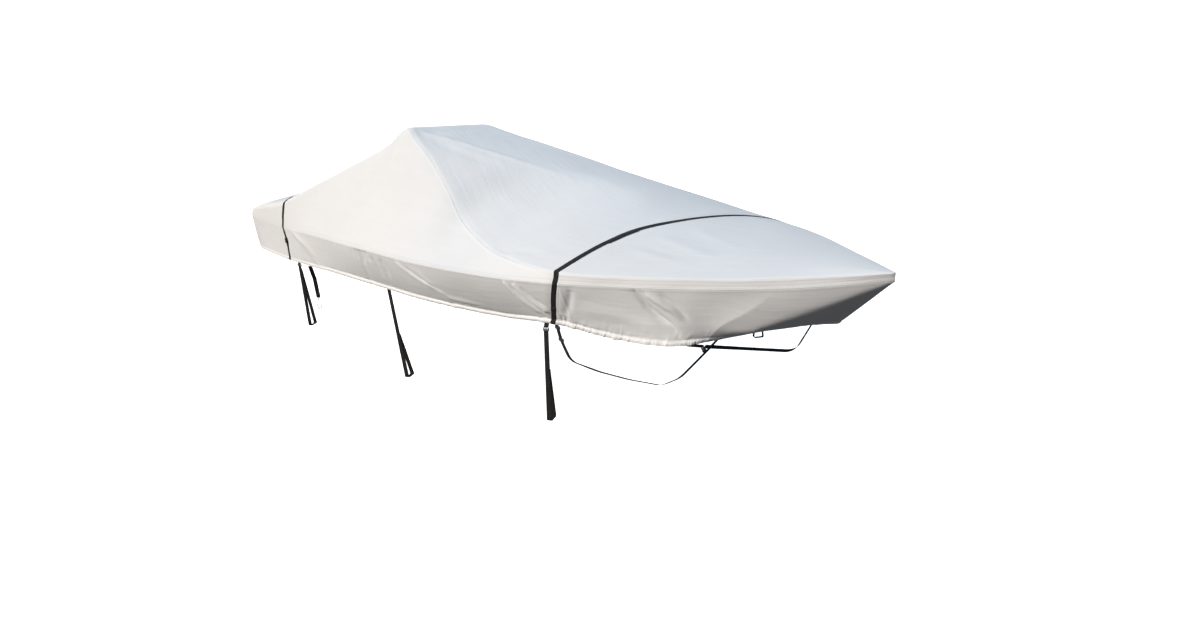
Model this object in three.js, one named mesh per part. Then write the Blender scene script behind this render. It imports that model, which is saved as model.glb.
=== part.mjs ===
import * as THREE from 'three';

// A fitted storage cover for a side-console dinghy of about 4.3 m, in the shape it has on the
// boat: pulled tight over the gunwales, raised over the console on the starboard side, and
// strapped down. The boat and its trailer are left out, so the cover is a hollow shell.
// Millimetres. X runs forward from the transom, Y to port and Z up from the ground under the
// trailer. The last lines move the whole cover so that its origin is under the console ridge.

const CLOTH = 2; // coated polyester with its doubled seams
const SEAM = 0.25; // each panel stops this far short of its seam line
const MITRE_LIMIT = 1.6; // longest offset at a sharp seam, in cloth thicknesses
const HIP_ROUND = 36; // half the width of the soft bend along a hip
const HIP_SHARE = 0.35; // and at most this share of the side panel's height
const RIDGE_SOFT = 0.15; // how round the top panel's ridge is, as a share of each side

// Black polyester webbing. clear is its gap to what it lies on, bendSteps are for each corner.
const WEB = { width: 25, thick: 1.6, clear: 0.5, bendSteps: 3 };
const SLIDER = { play: 0.6, wall: 2, short: 14, long: 22 };
const GAP = 0.3; // between a fitting and the cloth under it

// Where the two straps cross the deck and where the skirts' lengths are joined.
const FORWARD_STRAP = 3190;
const REAR_STRAP = 700;
const STEM_AT = 4290;
const SKIRT_JOIN = 3216;
const RIDGE = 1700; // and where the console ridge is highest

const HULL = [
  { at: 0, beam: 832, edge: 1163, hemAt: 22, hemOut: 815, hemUp: 934 },
  { at: 40, beam: 868, edge: 1163, hemAt: 50, hemOut: 848, hemUp: 939 },
  { at: 300, beam: 905, edge: 1165, hemAt: 300, hemOut: 902, hemUp: 958 },
  { at: 700, beam: 930, edge: 1168, hemAt: 745, hemOut: 926, hemUp: 961 },
  { at: 1300, beam: 945, edge: 1172, hemAt: 1300, hemOut: 905, hemUp: 968 },
  { at: 1800, beam: 950, edge: 1177, hemAt: 1800, hemOut: 850, hemUp: 955 },
  { at: 2300, beam: 950, edge: 1183, hemAt: 2300, hemOut: 836, hemUp: 963 },
  { at: 2800, beam: 900, edge: 1192, hemAt: 2780, hemOut: 775, hemUp: 974 },
  { at: 3190, beam: 800, edge: 1200, hemAt: 3109, hemOut: 741, hemUp: 999 },
  { at: 3500, beam: 652, edge: 1204, hemAt: 3426, hemOut: 649, hemUp: 969 },
  { at: 3700, beam: 523, edge: 1206, hemAt: 3640, hemOut: 555, hemUp: 968 },
  { at: 3850, beam: 409, edge: 1208, hemAt: 3745, hemOut: 410, hemUp: 984 },
  { at: 4000, beam: 286, edge: 1214, hemAt: 3845, hemOut: 235, hemUp: 998 },
  { at: 4150, beam: 146, edge: 1225, hemAt: 3965, hemOut: 70, hemUp: 1010 },
  { at: 4290, beam: 0, edge: 1238, hemAt: 4058, hemOut: 0, hemUp: 1020 },
];

// The raised part: where the starboard hip, the top panel's ridge and the port hip are. flat is 1
// where the cloth is stretched flat on both sides of its ridge, and 0 where it is crowned.
const TENT = [
  { at: 0, starOut: 822, starUp: 1200, midOut: 0, midUp: 1240, portOut: 822, portUp: 1200, flat: 0 },
  { at: 40, starOut: 856, starUp: 1209, midOut: 0, midUp: 1252, portOut: 856, portUp: 1209, flat: 0 },
  { at: 300, starOut: 888, starUp: 1266, midOut: 0, midUp: 1332, portOut: 888, portUp: 1258, flat: 0 },
  { at: 700, starOut: 898, starUp: 1325, midOut: 0, midUp: 1434, portOut: 890, portUp: 1310, flat: 0 },
  { at: 1000, starOut: 800, starUp: 1450, midOut: -40, midUp: 1510, portOut: 690, portUp: 1400, flat: 0 },
  { at: 1350, starOut: 676, starUp: 1596, midOut: -170, midUp: 1624, portOut: 350, portUp: 1566, flat: 0.2 },
  { at: 1560, starOut: 606, starUp: 1692, midOut: -270, midUp: 1700, portOut: 90, portUp: 1692, flat: 0.4 },
  { at: 1700, starOut: 572, starUp: 1780, midOut: -300, midUp: 1772, portOut: -30, portUp: 1762, flat: 0.5 },
  { at: 1800, starOut: 582, starUp: 1728, midOut: -400, midUp: 1746, portOut: 25, portUp: 1728, flat: 0.6 },
  { at: 1970, starOut: 602, starUp: 1630, midOut: -410, midUp: 1684, portOut: 118, portUp: 1664, flat: 0.8 },
  { at: 2190, starOut: 650, starUp: 1492, midOut: -285, midUp: 1616, portOut: 240, portUp: 1586, flat: 0.85 },
  { at: 2380, starOut: 700, starUp: 1362, midOut: -135, midUp: 1558, portOut: 350, portUp: 1517, flat: 0.85 },
  { at: 2600, starOut: 758, starUp: 1300, midOut: 0, midUp: 1497, portOut: 475, portUp: 1440, flat: 0.8 },
  { at: 2820, starOut: 800, starUp: 1270, midOut: 60, midUp: 1441, portOut: 600, portUp: 1362, flat: 0.5 },
  { at: 3190, starOut: 785, starUp: 1238, midOut: -100, midUp: 1352, portOut: 788, portUp: 1240, flat: 0 },
  { at: 3500, starOut: 639, starUp: 1239, midOut: -80, midUp: 1314, portOut: 641, portUp: 1239, flat: 0 },
  { at: 3850, starOut: 396, starUp: 1243, midOut: -40, midUp: 1283, portOut: 398, portUp: 1243, flat: 0 },
  { at: 4150, starOut: 140, starUp: 1260, midOut: 0, midUp: 1278, portOut: 140, portUp: 1260, flat: 0 },
  { at: 4290, starOut: 7, starUp: 1273, midOut: 0, midUp: 1273, portOut: 7, portUp: 1273, flat: 0 },
];

// The skirt's main folds. side: -1 is starboard. edge and hem: where each starts at the gunwale
// and ends at the hem. rise: how far it stands out, or in where it is negative.
const FOLDS = [
  { side: -1, edge: 860, hem: 1180, rise: 6, width: 60 },
  { side: -1, edge: 1748, hem: 1690, rise: -5, width: 45 },
  { side: -1, edge: 2215, hem: 2470, rise: 6, width: 50 },
  { side: -1, edge: 2945, hem: 3130, rise: 8, width: 40 },
  { side: -1, edge: 3000, hem: 3200, rise: 8, width: 44 },
  { side: -1, edge: 3262, hem: 3238, rise: -8, width: 44 },
  { side: -1, edge: 3441, hem: 3735, rise: -8, width: 44 },
  { side: -1, edge: 3535, hem: 3790, rise: 7, width: 50 },
  { side: -1, edge: 3957, hem: 3811, rise: 7, width: 90 },
  { side: 1, edge: 1010, hem: 1250, rise: 6, width: 60 },
  { side: 1, edge: 1925, hem: 1865, rise: -5, width: 50 },
  { side: 1, edge: 2470, hem: 2700, rise: 7, width: 50 },
  { side: 1, edge: 2985, hem: 3140, rise: 8, width: 44 },
  { side: 1, edge: 3262, hem: 3242, rise: -7, width: 44 },
  { side: 1, edge: 3460, hem: 3720, rise: -8, width: 44 },
  { side: 1, edge: 3545, hem: 3780, rise: 7, width: 50 },
  { side: 1, edge: 3957, hem: 3811, rise: 7, width: 90 },
];

// The skirt's knee. Round the bow the skirt hangs almost straight from the gunwale down to a line
// from the top of the stem to the hem, and turns under sharply below that line.
const KNEE = {
  from: 3650, to: 3950, line: 390, curve: 0.9, lowest: 0.9, lean: 0.1, weight: 5,
};

// Where fittings sit on the straps, in columns of the cover's grid from the starboard hem.
const FORWARD = { keeperFrom: 1.3, keeperTo: 1.75 };
const REAR = { doublingFrom: 1.75, doublingTo: 3.45, slider: 2.45, ring: 10.06 };

// The loops that tie the cover to the trailer's side rails, as seen on the starboard side.
// top: where each leaves the hem. foot and heel: the outer and inner corners under the rail.
// back: how far below the top its inner leg is sewn to the outer one.
const TIES = [
  {
    name: 'aft', topAt: 838, topOut: 912, topUp: 968, footAt: 750, footOut: 860, footUp: 512,
    heelAt: 712, back: 52, slider: 30,
  },
  {
    name: 'middle', topAt: 1837, topOut: 848, topUp: 949, footAt: 1938, footOut: 848, footUp: 462,
    heelAt: 1905, back: 246, slider: 0,
  },
  {
    name: 'forward', topAt: 3066, topOut: 757, topUp: 976, footAt: 3110, footOut: 800, footUp: 549,
    heelAt: 3080, back: 190, slider: 12,
  },
];
const TIE = { rail: 52, gap: 3, bend: 9, turn: 20, straight: 60, twistSteps: 8 };
// upper and lower: how far the hull strap's sliders are from the hem. rise: how steeply the hull's
// bottom rises towards the bow where the strap lies on it, between these heights.
const UNDER = { bend: 40, upper: 12, lower: 76, rise: 0.35, riseFrom: 850, riseFull: 720 };

// The bow strap and its sewn tabs, as seen on the starboard side, and the toggle beside them.
const BOW = {
  tabAt: 3664, tabOut: 500, tabUp: 962, endAt: 3720, endOut: 455, endUp: 957, stemAt: 3853,
  stemUp: 848, bend: 60, gap: 3, insideAt: 3500, flare: 0.9,
};
const KNOB = { radius: 11.5, at: new THREE.Vector3(3726, -466, 948) };

// The short strap that hangs loose beside the aft loop, and the wire hook on its end.
const TAIL = [
  new THREE.Vector3(978, -905, 953),
  new THREE.Vector3(944, -872, 861),
  new THREE.Vector3(956, -868, 743),
];
const HOOK = {
  wire: 3.2,
  points: [
    new THREE.Vector3(951, -864, 735),
    new THREE.Vector3(916, -864, 717),
    new THREE.Vector3(912, -864, 687),
    new THREE.Vector3(938, -864, 663),
    new THREE.Vector3(970, -864, 671),
    new THREE.Vector3(976, -864, 695),
  ],
};

// Stations along the boat: each row says how many equal steps reach it from the one before.
const STATIONS = [
  { at: 40, steps: 2 },
  { at: 300, steps: 3 },
  { at: REAR_STRAP - WEB.width / 2, steps: 4 },
  { at: REAR_STRAP + WEB.width / 2, steps: 1 },
  { at: 1500, steps: 8 },
  { at: 2100, steps: 9 },
  { at: 2500, steps: 6 },
  { at: 2850, steps: 4 },
  { at: FORWARD_STRAP - WEB.width / 2, steps: 7 },
  { at: FORWARD_STRAP + WEB.width / 2, steps: 1 },
  { at: SKIRT_JOIN, steps: 1 },
  { at: 3500, steps: 6 },
  { at: 3900, steps: 8 },
  { at: 4200, steps: 5 },
  { at: 4276, steps: 2 },
  { at: 4290, steps: 1 },
];

// Strips across each panel. A bend is half of the soft round along a hip.
const STRIPS = { skirt: 4, side: 2, bend: 2, top: 7 };

const vec = (x, y, z) => new THREE.Vector3(x, y, z);
const mix = (a, b, t) => a.clone().lerp(b, t);

// Smooth curve through one column of a table, with the slope at each row taken from its
// neighbours.
function column(rows, name) {
  const slope = rows.map((row, i) => {
    const before = rows[Math.max(i - 1, 0)];
    const after = rows[Math.min(i + 1, rows.length - 1)];
    return (after[name] - before[name]) / (after.at - before.at);
  });
  return (at) => {
    let i = 0;
    while (i < rows.length - 2 && rows[i + 1].at < at) i += 1;
    const [low, high] = [rows[i], rows[i + 1]];
    const span = high.at - low.at;
    const t = (at - low.at) / span;
    const turn = t * t * (3 - 2 * t);
    const rise = span * t * (1 - t) * ((1 - t) * slope[i] - t * slope[i + 1]);
    return low[name] * (1 - turn) + high[name] * turn + rise;
  };
}

function columns(rows) {
  const names = Object.keys(rows[0]).filter((name) => name !== 'at');
  return Object.fromEntries(names.map((name) => [name, column(rows, name)]));
}

const hull = columns(HULL);
const tent = columns(TENT);

// A bend from a to b around the corner. A weight above 1 draws it closer to the corner.
function bend(a, corner, b, t, weight = 1) {
  const [start, middle, end] = [(1 - t) ** 2, 2 * weight * t * (1 - t), t ** 2];
  const point = a.clone().multiplyScalar(start).addScaledVector(corner, middle);
  return point.addScaledVector(b, end).divideScalar(start + middle + end);
}

// How far the skirt stands out at a point, up being 0 at the hem and 1 at the gunwale. A fold
// is soft across, and dies away at the gunwale.
function foldRise(at, side, up) {
  let rise = 0;
  for (const fold of FOLDS.filter((row) => row.side === side)) {
    const across = (at - THREE.MathUtils.lerp(fold.hem, fold.edge, up)) / fold.width;
    rise += fold.rise * Math.exp(-across * across * 4) * Math.sqrt(1 - up);
  }
  return rise;
}

// The corner that the skirt bends around at one section, and how closely it does.
function kneeOf(at, side, edge, hem) {
  const soft = vec((edge.x + hem.x) / 2, (edge.y * 3 + hem.y) / 4, (edge.z + hem.z) / 2);
  const turn = THREE.MathUtils.smoothstep(at, KNEE.from, KNEE.to);
  const slope = (hull.beam(at + 1) - hull.beam(at - 1)) / 2;
  const out = vec(-slope, side, 0).normalize();
  const drop = hem.clone().sub(edge);
  const hung = drop.clone().addScaledVector(out, KNEE.lean * drop.z - drop.dot(out));
  const down = Math.min(((STEM_AT - at) / KNEE.line) ** KNEE.curve, KNEE.lowest);
  const knee = mix(soft, edge.clone().addScaledVector(hung, down), turn);
  return { knee, weight: THREE.MathUtils.lerp(1, KNEE.weight, turn) };
}

// The skirt at one section, from the hem up to the gunwale edge. side is -1 for starboard.
function skirtLine(at, side) {
  const edge = vec(at, side * hull.beam(at), hull.edge(at));
  const hem = vec(hull.hemAt(at), side * hull.hemOut(at), hull.hemUp(at));
  const { knee, weight } = kneeOf(at, side, edge, hem);
  const line = [];
  for (let i = 0; i <= STRIPS.skirt; i += 1) {
    const up = i / STRIPS.skirt;
    const point = bend(hem, knee, edge, up, weight);
    point.y += side * foldRise(at, side, up);
    line.push(point);
  }
  return line;
}

// 1 at the ridge and 0 at both hips, straight between them and a little round at the ridge.
function ridged(s, share) {
  const away = s < share ? 1 - s / share : (s - share) / (1 - share);
  const soft = (x) => Math.hypot(x, RIDGE_SOFT) - RIDGE_SOFT;
  return 1 - soft(away) / soft(1);
}

// The top panel's curve at one section, from the starboard hip at 0 to the port hip at 1.
function crownLine(at) {
  const star = vec(at, -tent.starOut(at), tent.starUp(at));
  const port = vec(at, tent.portOut(at), tent.portUp(at));
  const mid = vec(at, tent.midOut(at), tent.midUp(at));
  const width = star.distanceTo(mid) + mid.distanceTo(port);
  const share = width > 0 ? star.distanceTo(mid) / width : 1 / 2;
  const crowned = (s) => (s * (1 - s)) / (share * (1 - share));
  const pull = (s) => THREE.MathUtils.lerp(crowned(s), ridged(s, share), tent.flat(at));
  const sag = mix(star, port, share).sub(mid);
  return { star, port, width, at: (s) => mix(star, port, s).addScaledVector(sag, -pull(s)) };
}

// One side panel and the bend over its hip, from the gunwale edge to the top panel.
function sideLine(at, side, hip, crown, width) {
  const edge = vec(at, side * hull.beam(at), hull.edge(at));
  const height = edge.distanceTo(hip);
  const round = Math.min(HIP_ROUND, HIP_SHARE * height, HIP_SHARE * width);
  const inner = width > 0 ? round / width : 0;
  const from = mix(hip, edge, round / height);
  const line = [];
  for (let i = 0; i < STRIPS.side; i += 1) line.push(mix(edge, from, i / STRIPS.side));
  for (let i = 0; i <= 2 * STRIPS.bend; i += 1) {
    line.push(bend(from, hip, crown(inner), i / (2 * STRIPS.bend)));
  }
  return { line, inner };
}

// The whole section, from the starboard hem over the top to the port hem.
function sectionLine(at) {
  const crown = crownLine(at);
  const star = sideLine(at, -1, crown.star, crown.at, crown.width);
  const port = sideLine(at, 1, crown.port, (s) => crown.at(1 - s), crown.width);
  const middle = [];
  for (let i = 1; i < STRIPS.top; i += 1) {
    middle.push(crown.at(THREE.MathUtils.lerp(star.inner, 1 - port.inner, i / STRIPS.top)));
  }
  return [
    ...skirtLine(at, -1).slice(0, -1),
    ...star.line,
    ...middle,
    ...port.line.reverse(),
    ...skirtLine(at, 1).reverse().slice(1),
  ];
}

// The columns where one panel ends and the next begins, counted from the starboard hem.
const EDGE = STRIPS.skirt;
const HIP = EDGE + STRIPS.side + STRIPS.bend;
const LAST = 2 * HIP + STRIPS.top + 2 * STRIPS.bend;

function stationList() {
  const list = [0];
  for (const row of STATIONS) {
    const from = list[list.length - 1];
    for (let i = 1; i <= row.steps; i += 1) list.push(from + ((row.at - from) * i) / row.steps);
  }
  return list;
}

const stations = stationList();
const station = (at) => stations.findIndex((value) => Math.abs(value - at) < 1e-6);
const body = stations.map(sectionLine);

// Unit normals of the four quads around each grid point, fewer at an edge.
function normalsAround(grid, i, j) {
  const found = [];
  for (const [di, dj] of [[-1, -1], [-1, 0], [0, -1], [0, 0]]) {
    const row = grid[i + di];
    const next = grid[i + di + 1];
    if (row && next && row[j + dj] && row[j + dj + 1]) {
      const along = next[j + dj + 1].clone().sub(row[j + dj]);
      const across = row[j + dj + 1].clone().sub(next[j + dj]);
      found.push(along.cross(across).normalize());
    }
  }
  return found;
}

// From each outer point to the point under it on the inner face, longer at a sharp seam.
// extra adds the faces that meet the grid along one of its borders.
function offsets(grid, extra) {
  return grid.map((row, i) => row.map((point, j) => {
    const faces = normalsAround(grid, i, j);
    faces.push(...extra(i, j, faces));
    const mean = faces.reduce((sum, face) => sum.add(face), vec(0, 0, 0)).normalize();
    const fit = faces.reduce((sum, face) => sum + face.dot(mean), 0) / faces.length;
    return mean.multiplyScalar(-CLOTH * Math.min(1 / fit, MITRE_LIMIT));
  }));
}

// The transom closes the stern, and at the stem the port side mirrors the starboard one.
function bodyNeighbours(i, j, faces) {
  if (i === 0) return faces.map(() => vec(-1, 0, 0));
  if (i === stations.length - 1) return faces.map((face) => vec(face.x, -face.y, face.z));
  return [];
}

const bodyOffsets = offsets(body, bodyNeighbours);

// A closed sheet: the grid is its outer face, and shifts lead to its inner face.
function closedSheet(grid, shifts) {
  const rows = grid.length;
  const width = grid[0].length;
  const points = [
    ...grid.flat(),
    ...grid.flatMap((row, i) => row.map((point, j) => point.clone().add(shifts[i][j]))),
  ];
  const inner = rows * width;
  const faces = [];
  const quad = (a, b, c, d) => faces.push(a, b, c, a, c, d);
  for (let i = 0; i + 1 < rows; i += 1) {
    for (let j = 0; j + 1 < width; j += 1) {
      const a = i * width + j;
      quad(a, a + width, a + width + 1, a + 1);
      quad(inner + a, inner + a + 1, inner + a + width + 1, inner + a + width);
    }
  }
  // Walls that face each other across a seam are split along the same diagonal.
  const wall = (count, step, from, back) => {
    for (let k = 0; k + 1 < count; k += 1) {
      const a = from + k * step;
      const b = a + step;
      if (back) quad(b, a, inner + a, inner + b);
      else quad(inner + a, a, b, inner + b);
    }
  };
  wall(width, 1, 0, false);
  wall(rows, width, width - 1, false);
  wall(width, 1, inner - width, true);
  wall(rows, width, 0, true);
  const geometry = new THREE.BufferGeometry();
  geometry.setAttribute('position', new THREE.Float32BufferAttribute(points.flatMap((p) => p.toArray()), 3));
  geometry.setIndex(faces);
  geometry.computeVertexNormals();
  return geometry;
}

// Part of a grid as a sheet. A border on a seam is drawn in a little, along the cloth.
function panel(grid, shifts, [top, bottom], [left, right], seams) {
  const cut = (source) => source.slice(top, bottom + 1).map((row) => row.slice(left, right + 1));
  const outer = cut(grid).map((row) => row.map((point) => point.clone()));
  const source = cut(grid);
  const rows = outer.length - 1;
  const width = outer[0].length - 1;
  const draw = (i, j, ni, nj) => {
    const toward = source[ni][nj].clone().sub(source[i][j]).normalize();
    outer[i][j].addScaledVector(toward, SEAM);
  };
  for (let j = 0; j <= width; j += 1) {
    if (seams.includes('aft')) draw(0, j, 1, j);
    if (seams.includes('fore')) draw(rows, j, rows - 1, j);
  }
  for (let i = 0; i <= rows; i += 1) {
    if (seams.includes('left')) draw(i, 0, i, 1);
    if (seams.includes('right')) draw(i, width, i, width - 1);
  }
  return closedSheet(outer, cut(shifts));
}

// The transom panel, from its straight hem at the foot up to the top panel.
function transomGrid() {
  const [star, port] = [body[0], [...body[0]].reverse()];
  const grid = [];
  for (let i = 0; i <= HIP; i += 1) {
    const up = (star[i].z - star[0].z) / (star[HIP].z - star[0].z);
    const row = [];
    for (let j = HIP; j <= LAST - HIP; j += 1) {
      const over = (star[j].y - star[HIP].y) / (port[HIP].y - star[HIP].y);
      const foot = mix(star[0], port[0], over);
      const level = mix(star[i], port[i], over);
      const corners = mix(foot, mix(star[HIP], port[HIP], over), up);
      row.push(level.add(mix(foot, star[j], up)).sub(corners));
    }
    grid.push(row);
  }
  return grid;
}

function transomPanel() {
  const grid = transomGrid();
  const shifts = offsets(grid, () => []);
  const across = LAST - 2 * HIP;
  shifts.forEach((row, i) => {
    row[0] = bodyOffsets[0][i];
    row[across] = bodyOffsets[0][LAST - i];
  });
  shifts[HIP] = bodyOffsets[0].slice(HIP, LAST - HIP + 1);
  return panel(grid, shifts, [0, HIP], [0, across], ['fore', 'left', 'right']);
}

function bodyPanel(aft, fore, left, right, seams) {
  return panel(body, bodyOffsets, [aft, fore], [left, right], seams);
}

// A lane is the strip of cloth under a strap that crosses the boat: two of the cover's own
// sections, one web width apart. The place on it is counted in columns from the starboard hem.
function lanePoint(row, place, lift) {
  const low = Math.min(Math.floor(place), LAST - 1);
  const at = mix(body[row][low], body[row][low + 1], place - low);
  const inward = mix(bodyOffsets[row][low], bodyOffsets[row][low + 1], place - low);
  return at.addScaledVector(inward, -lift / CLOTH);
}

function laneStrip(centre, from, to, lift) {
  const rows = [station(centre - WEB.width / 2), station(centre + WEB.width / 2)];
  const places = [from];
  for (let i = Math.floor(from) + 1; i < to; i += 1) places.push(i);
  places.push(to);
  const face = (height) => rows.map((row) => places.map((place) => lanePoint(row, place, height)));
  const [outer, inner] = [face(lift + WEB.thick), face(lift)];
  const shifts = outer.map((row, i) => row.map((point, j) => inner[i][j].clone().sub(point)));
  return closedSheet(outer, shifts);
}

// The frame of a lane at one place: X across the strap, Y along it and Z out of the cloth.
function laneFrame(centre, place, lift) {
  const rows = [station(centre - WEB.width / 2), station(centre + WEB.width / 2)];
  const middle = (where, height) => mix(...rows.map((row) => lanePoint(row, where, height)), 1 / 2);
  const at = middle(place, lift);
  const out = middle(place, lift + 1).sub(at).normalize();
  const along = middle(place + 0.05, lift).sub(middle(place - 0.05, lift)).normalize();
  const across = along.clone().cross(out).normalize();
  const basis = new THREE.Matrix4().makeBasis(across, along, across.clone().cross(along));
  return basis.setPosition(at);
}

// A run of straight lengths with every corner turned in a soft bend.
function softRun(points, radius) {
  const run = [points[0]];
  for (let i = 1; i + 1 < points.length; i += 1) {
    const corner = points[i];
    const turn = (end) => mix(corner, end, Math.min(radius / corner.distanceTo(end), 0.45));
    const [from, to] = [turn(points[i - 1]), turn(points[i + 1])];
    for (let k = 0; k <= WEB.bendSteps; k += 1) run.push(bend(from, corner, to, k / WEB.bendSteps));
  }
  return [...run, points[points.length - 1]];
}

// The way a run goes at one of its points. Beside a long straight stretch it is that stretch's way.
function wayAt(run, i) {
  const before = run[i].clone().sub(run[Math.max(i - 1, 0)]);
  const after = run[Math.min(i + 1, run.length - 1)].clone().sub(run[i]);
  if (before.length() > 2 * after.length()) return before.normalize();
  if (after.length() > 2 * before.length()) return after.normalize();
  return before.add(after).normalize();
}

// Webbing along a run. across(point) is the way its width lies.
function webbing(run, across) {
  const grid = [];
  const shifts = [];
  run.forEach((point, i) => {
    const along = wayAt(run, i);
    const wide = across(point);
    const side = wide.addScaledVector(along, -wide.dot(along)).normalize();
    const out = along.clone().cross(side).multiplyScalar(WEB.thick);
    const centre = point.clone().addScaledVector(out, 1 / 2);
    side.multiplyScalar(WEB.width / 2);
    grid.push([centre.clone().sub(side), centre.clone().add(side)]);
    shifts.push([out.clone().negate(), out.clone().negate()]);
  });
  return closedSheet(grid, shifts);
}

// A slider seen along the strap. On the cloth it is a cap over webbing that stands up to tall;
// free of the cloth it is a closed frame around one thickness.
function sliderShape(tall, closed) {
  const wide = WEB.width / 2 + SLIDER.play;
  const under = WEB.thick / 2 + SLIDER.play;
  const shape = new THREE.Shape();
  shape.moveTo(wide + SLIDER.wall, closed ? -under - SLIDER.wall : 0);
  shape.lineTo(wide + SLIDER.wall, tall + SLIDER.wall);
  shape.lineTo(-wide - SLIDER.wall, tall + SLIDER.wall);
  shape.lineTo(-wide - SLIDER.wall, closed ? -under - SLIDER.wall : 0);
  const inside = closed ? new THREE.Path() : shape;
  const start = closed ? 'moveTo' : 'lineTo';
  inside[start](-wide, closed ? -under : 0);
  inside.lineTo(-wide, tall);
  inside.lineTo(wide, tall);
  inside.lineTo(wide, closed ? -under : 0);
  inside.closePath();
  if (closed) shape.holes.push(inside);
  return shape;
}

function slider(tall, closed, length) {
  const shape = sliderShape(tall, closed);
  const geometry = new THREE.ExtrudeGeometry(shape, { depth: length, bevelEnabled: false });
  geometry.translate(0, 0, -length / 2);
  return geometry.rotateX(Math.PI / 2);
}

// How the width of free webbing lies: along the boat where it runs down, tilted with the hull's
// bottom where it runs under it, and upright round the stem.
const lengthways = () => vec(1, 0, 0);
const onHull = ({ z }) => {
  const down = 1 - THREE.MathUtils.smoothstep(z, UNDER.riseFull, UNDER.riseFrom);
  return vec(1, 0, UNDER.rise * down);
};
const upright = () => vec(0, 0, 1);

// The frame of a free strap, so far along it from its start.
function runFrame(run, distance, across) {
  let i = 0;
  let rest = distance;
  while (rest > run[i].distanceTo(run[i + 1])) {
    rest -= run[i].distanceTo(run[i + 1]);
    i += 1;
  }
  const along = run[i + 1].clone().sub(run[i]).normalize();
  const at = run[i].clone().addScaledVector(along, rest);
  const out = across(at).cross(along).normalize();
  const basis = new THREE.Matrix4().makeBasis(along.clone().cross(out), along, out);
  return basis.setPosition(at);
}

function mirrorY(point) {
  return vec(point.x, -point.y, point.z);
}

// The strap under the boat: out at each hem, round the chines and under the keel.
function underRun() {
  const half = [
    vec(3121, -739, 990),
    vec(3122, -720, 916),
    vec(3120, -667, 803),
    vec(3120, -495, 702),
    vec(3120, -300, 606),
    vec(3120, -70, 507),
  ];
  return softRun([...half, ...half.map(mirrorY).reverse()], UNDER.bend);
}

// One loop round a trailer rail, from the hem down its outer side and up its inner side. Both legs
// are in short lengths, for their twist.
function tieRun(row, side) {
  const top = vec(row.topAt, side * row.topOut, row.topUp);
  const foot = vec(row.footAt, side * row.footOut, row.footUp);
  const heel = vec(row.heelAt, side * (row.footOut - TIE.rail), row.footUp);
  const back = mix(top, foot, row.back / (row.topUp - row.footUp));
  back.y -= side * TIE.gap;
  const run = softRun([top, foot, heel, back], TIE.bend);
  const [outer, inner] = [run[1], run[run.length - 2]];
  const below = mix(top, outer, TIE.straight / (row.topUp - row.footUp));
  return [top, ...lengths(below, outer), ...run.slice(1, -1), ...lengths(back, inner).reverse()];
}

function lengths(from, to) {
  return Array.from({ length: TIE.twistSteps }, (_, i) => mix(from, to, i / TIE.twistSteps));
}

// A loop's width is turned a little from the hem's line down to below its slider, and then turns
// further until it is square to the stretch under the rail.
function tieAcross(row, side) {
  const turned = lengthways().applyAxisAngle(upright(), THREE.MathUtils.degToRad(-side * TIE.turn));
  const square = vec(TIE.rail, side * (row.heelAt - row.footAt), 0).normalize();
  return (point) => {
    const start = row.topUp - TIE.straight;
    const drop = (start - point.z) / (start - row.footUp - TIE.bend);
    return mix(turned, square, THREE.MathUtils.clamp(drop, 0, 1));
  };
}

// Webbing at the bow leans out with the hull's flare, away from a point inside the hull.
function flared(point) {
  const away = vec(point.x - BOW.insideAt, point.y, 0).setLength(BOW.flare);
  return away.add(upright()).normalize();
}

// The strap at the bow: a sewn tab lies inside each hem, and the strap goes on round the stem.
function bowRun() {
  const star = vec(BOW.endAt, -BOW.endOut, BOW.endUp);
  const stem = vec(BOW.stemAt, 0, BOW.stemUp);
  return softRun([star, stem, mirrorY(star)], BOW.bend);
}

function bowTabRun(side) {
  const start = vec(BOW.tabAt, side * BOW.tabOut, BOW.tabUp);
  const end = vec(BOW.endAt, side * BOW.endOut, BOW.endUp);
  end.add(start.clone().sub(end).setLength(BOW.gap));
  return [start, mix(start, end, 1 / 2), end];
}

function knob() {
  const turned = [[0, -1], [0.5, -0.87], [0.87, -0.5], [1, 0], [0.87, 0.5], [0.5, 0.87], [0, 1]];
  const profile = turned.map(([x, y]) => new THREE.Vector2(x, y).multiplyScalar(KNOB.radius));
  return new THREE.LatheGeometry(profile, 16);
}

// The eye of round wire on the loose strap.
function wireHook() {
  const ring = new THREE.Shape().absarc(0, 0, HOOK.wire / 2, 0, Math.PI * 2);
  const extrudePath = new THREE.CatmullRomCurve3(HOOK.points);
  return new THREE.ExtrudeGeometry(ring, { steps: 24, curveSegments: 4, bevelEnabled: false, extrudePath });
}

const cloth = { color: 0xb9b9ba, roughness: 0.75, metalness: 0 };
const web = { color: 0x17171a, roughness: 0.8, metalness: 0 };
const steel = { color: 0xb4b6b8, roughness: 0.35, metalness: 1 };
const plastic = { color: 0x101012, roughness: 0.45, metalness: 0 };

const cover = new THREE.Group();

function add(name, geometry, finish, frame = new THREE.Matrix4()) {
  const mesh = new THREE.Mesh(geometry, new THREE.MeshStandardMaterial(finish));
  mesh.name = name;
  mesh.applyMatrix4(frame);
  cover.add(mesh);
}

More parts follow.
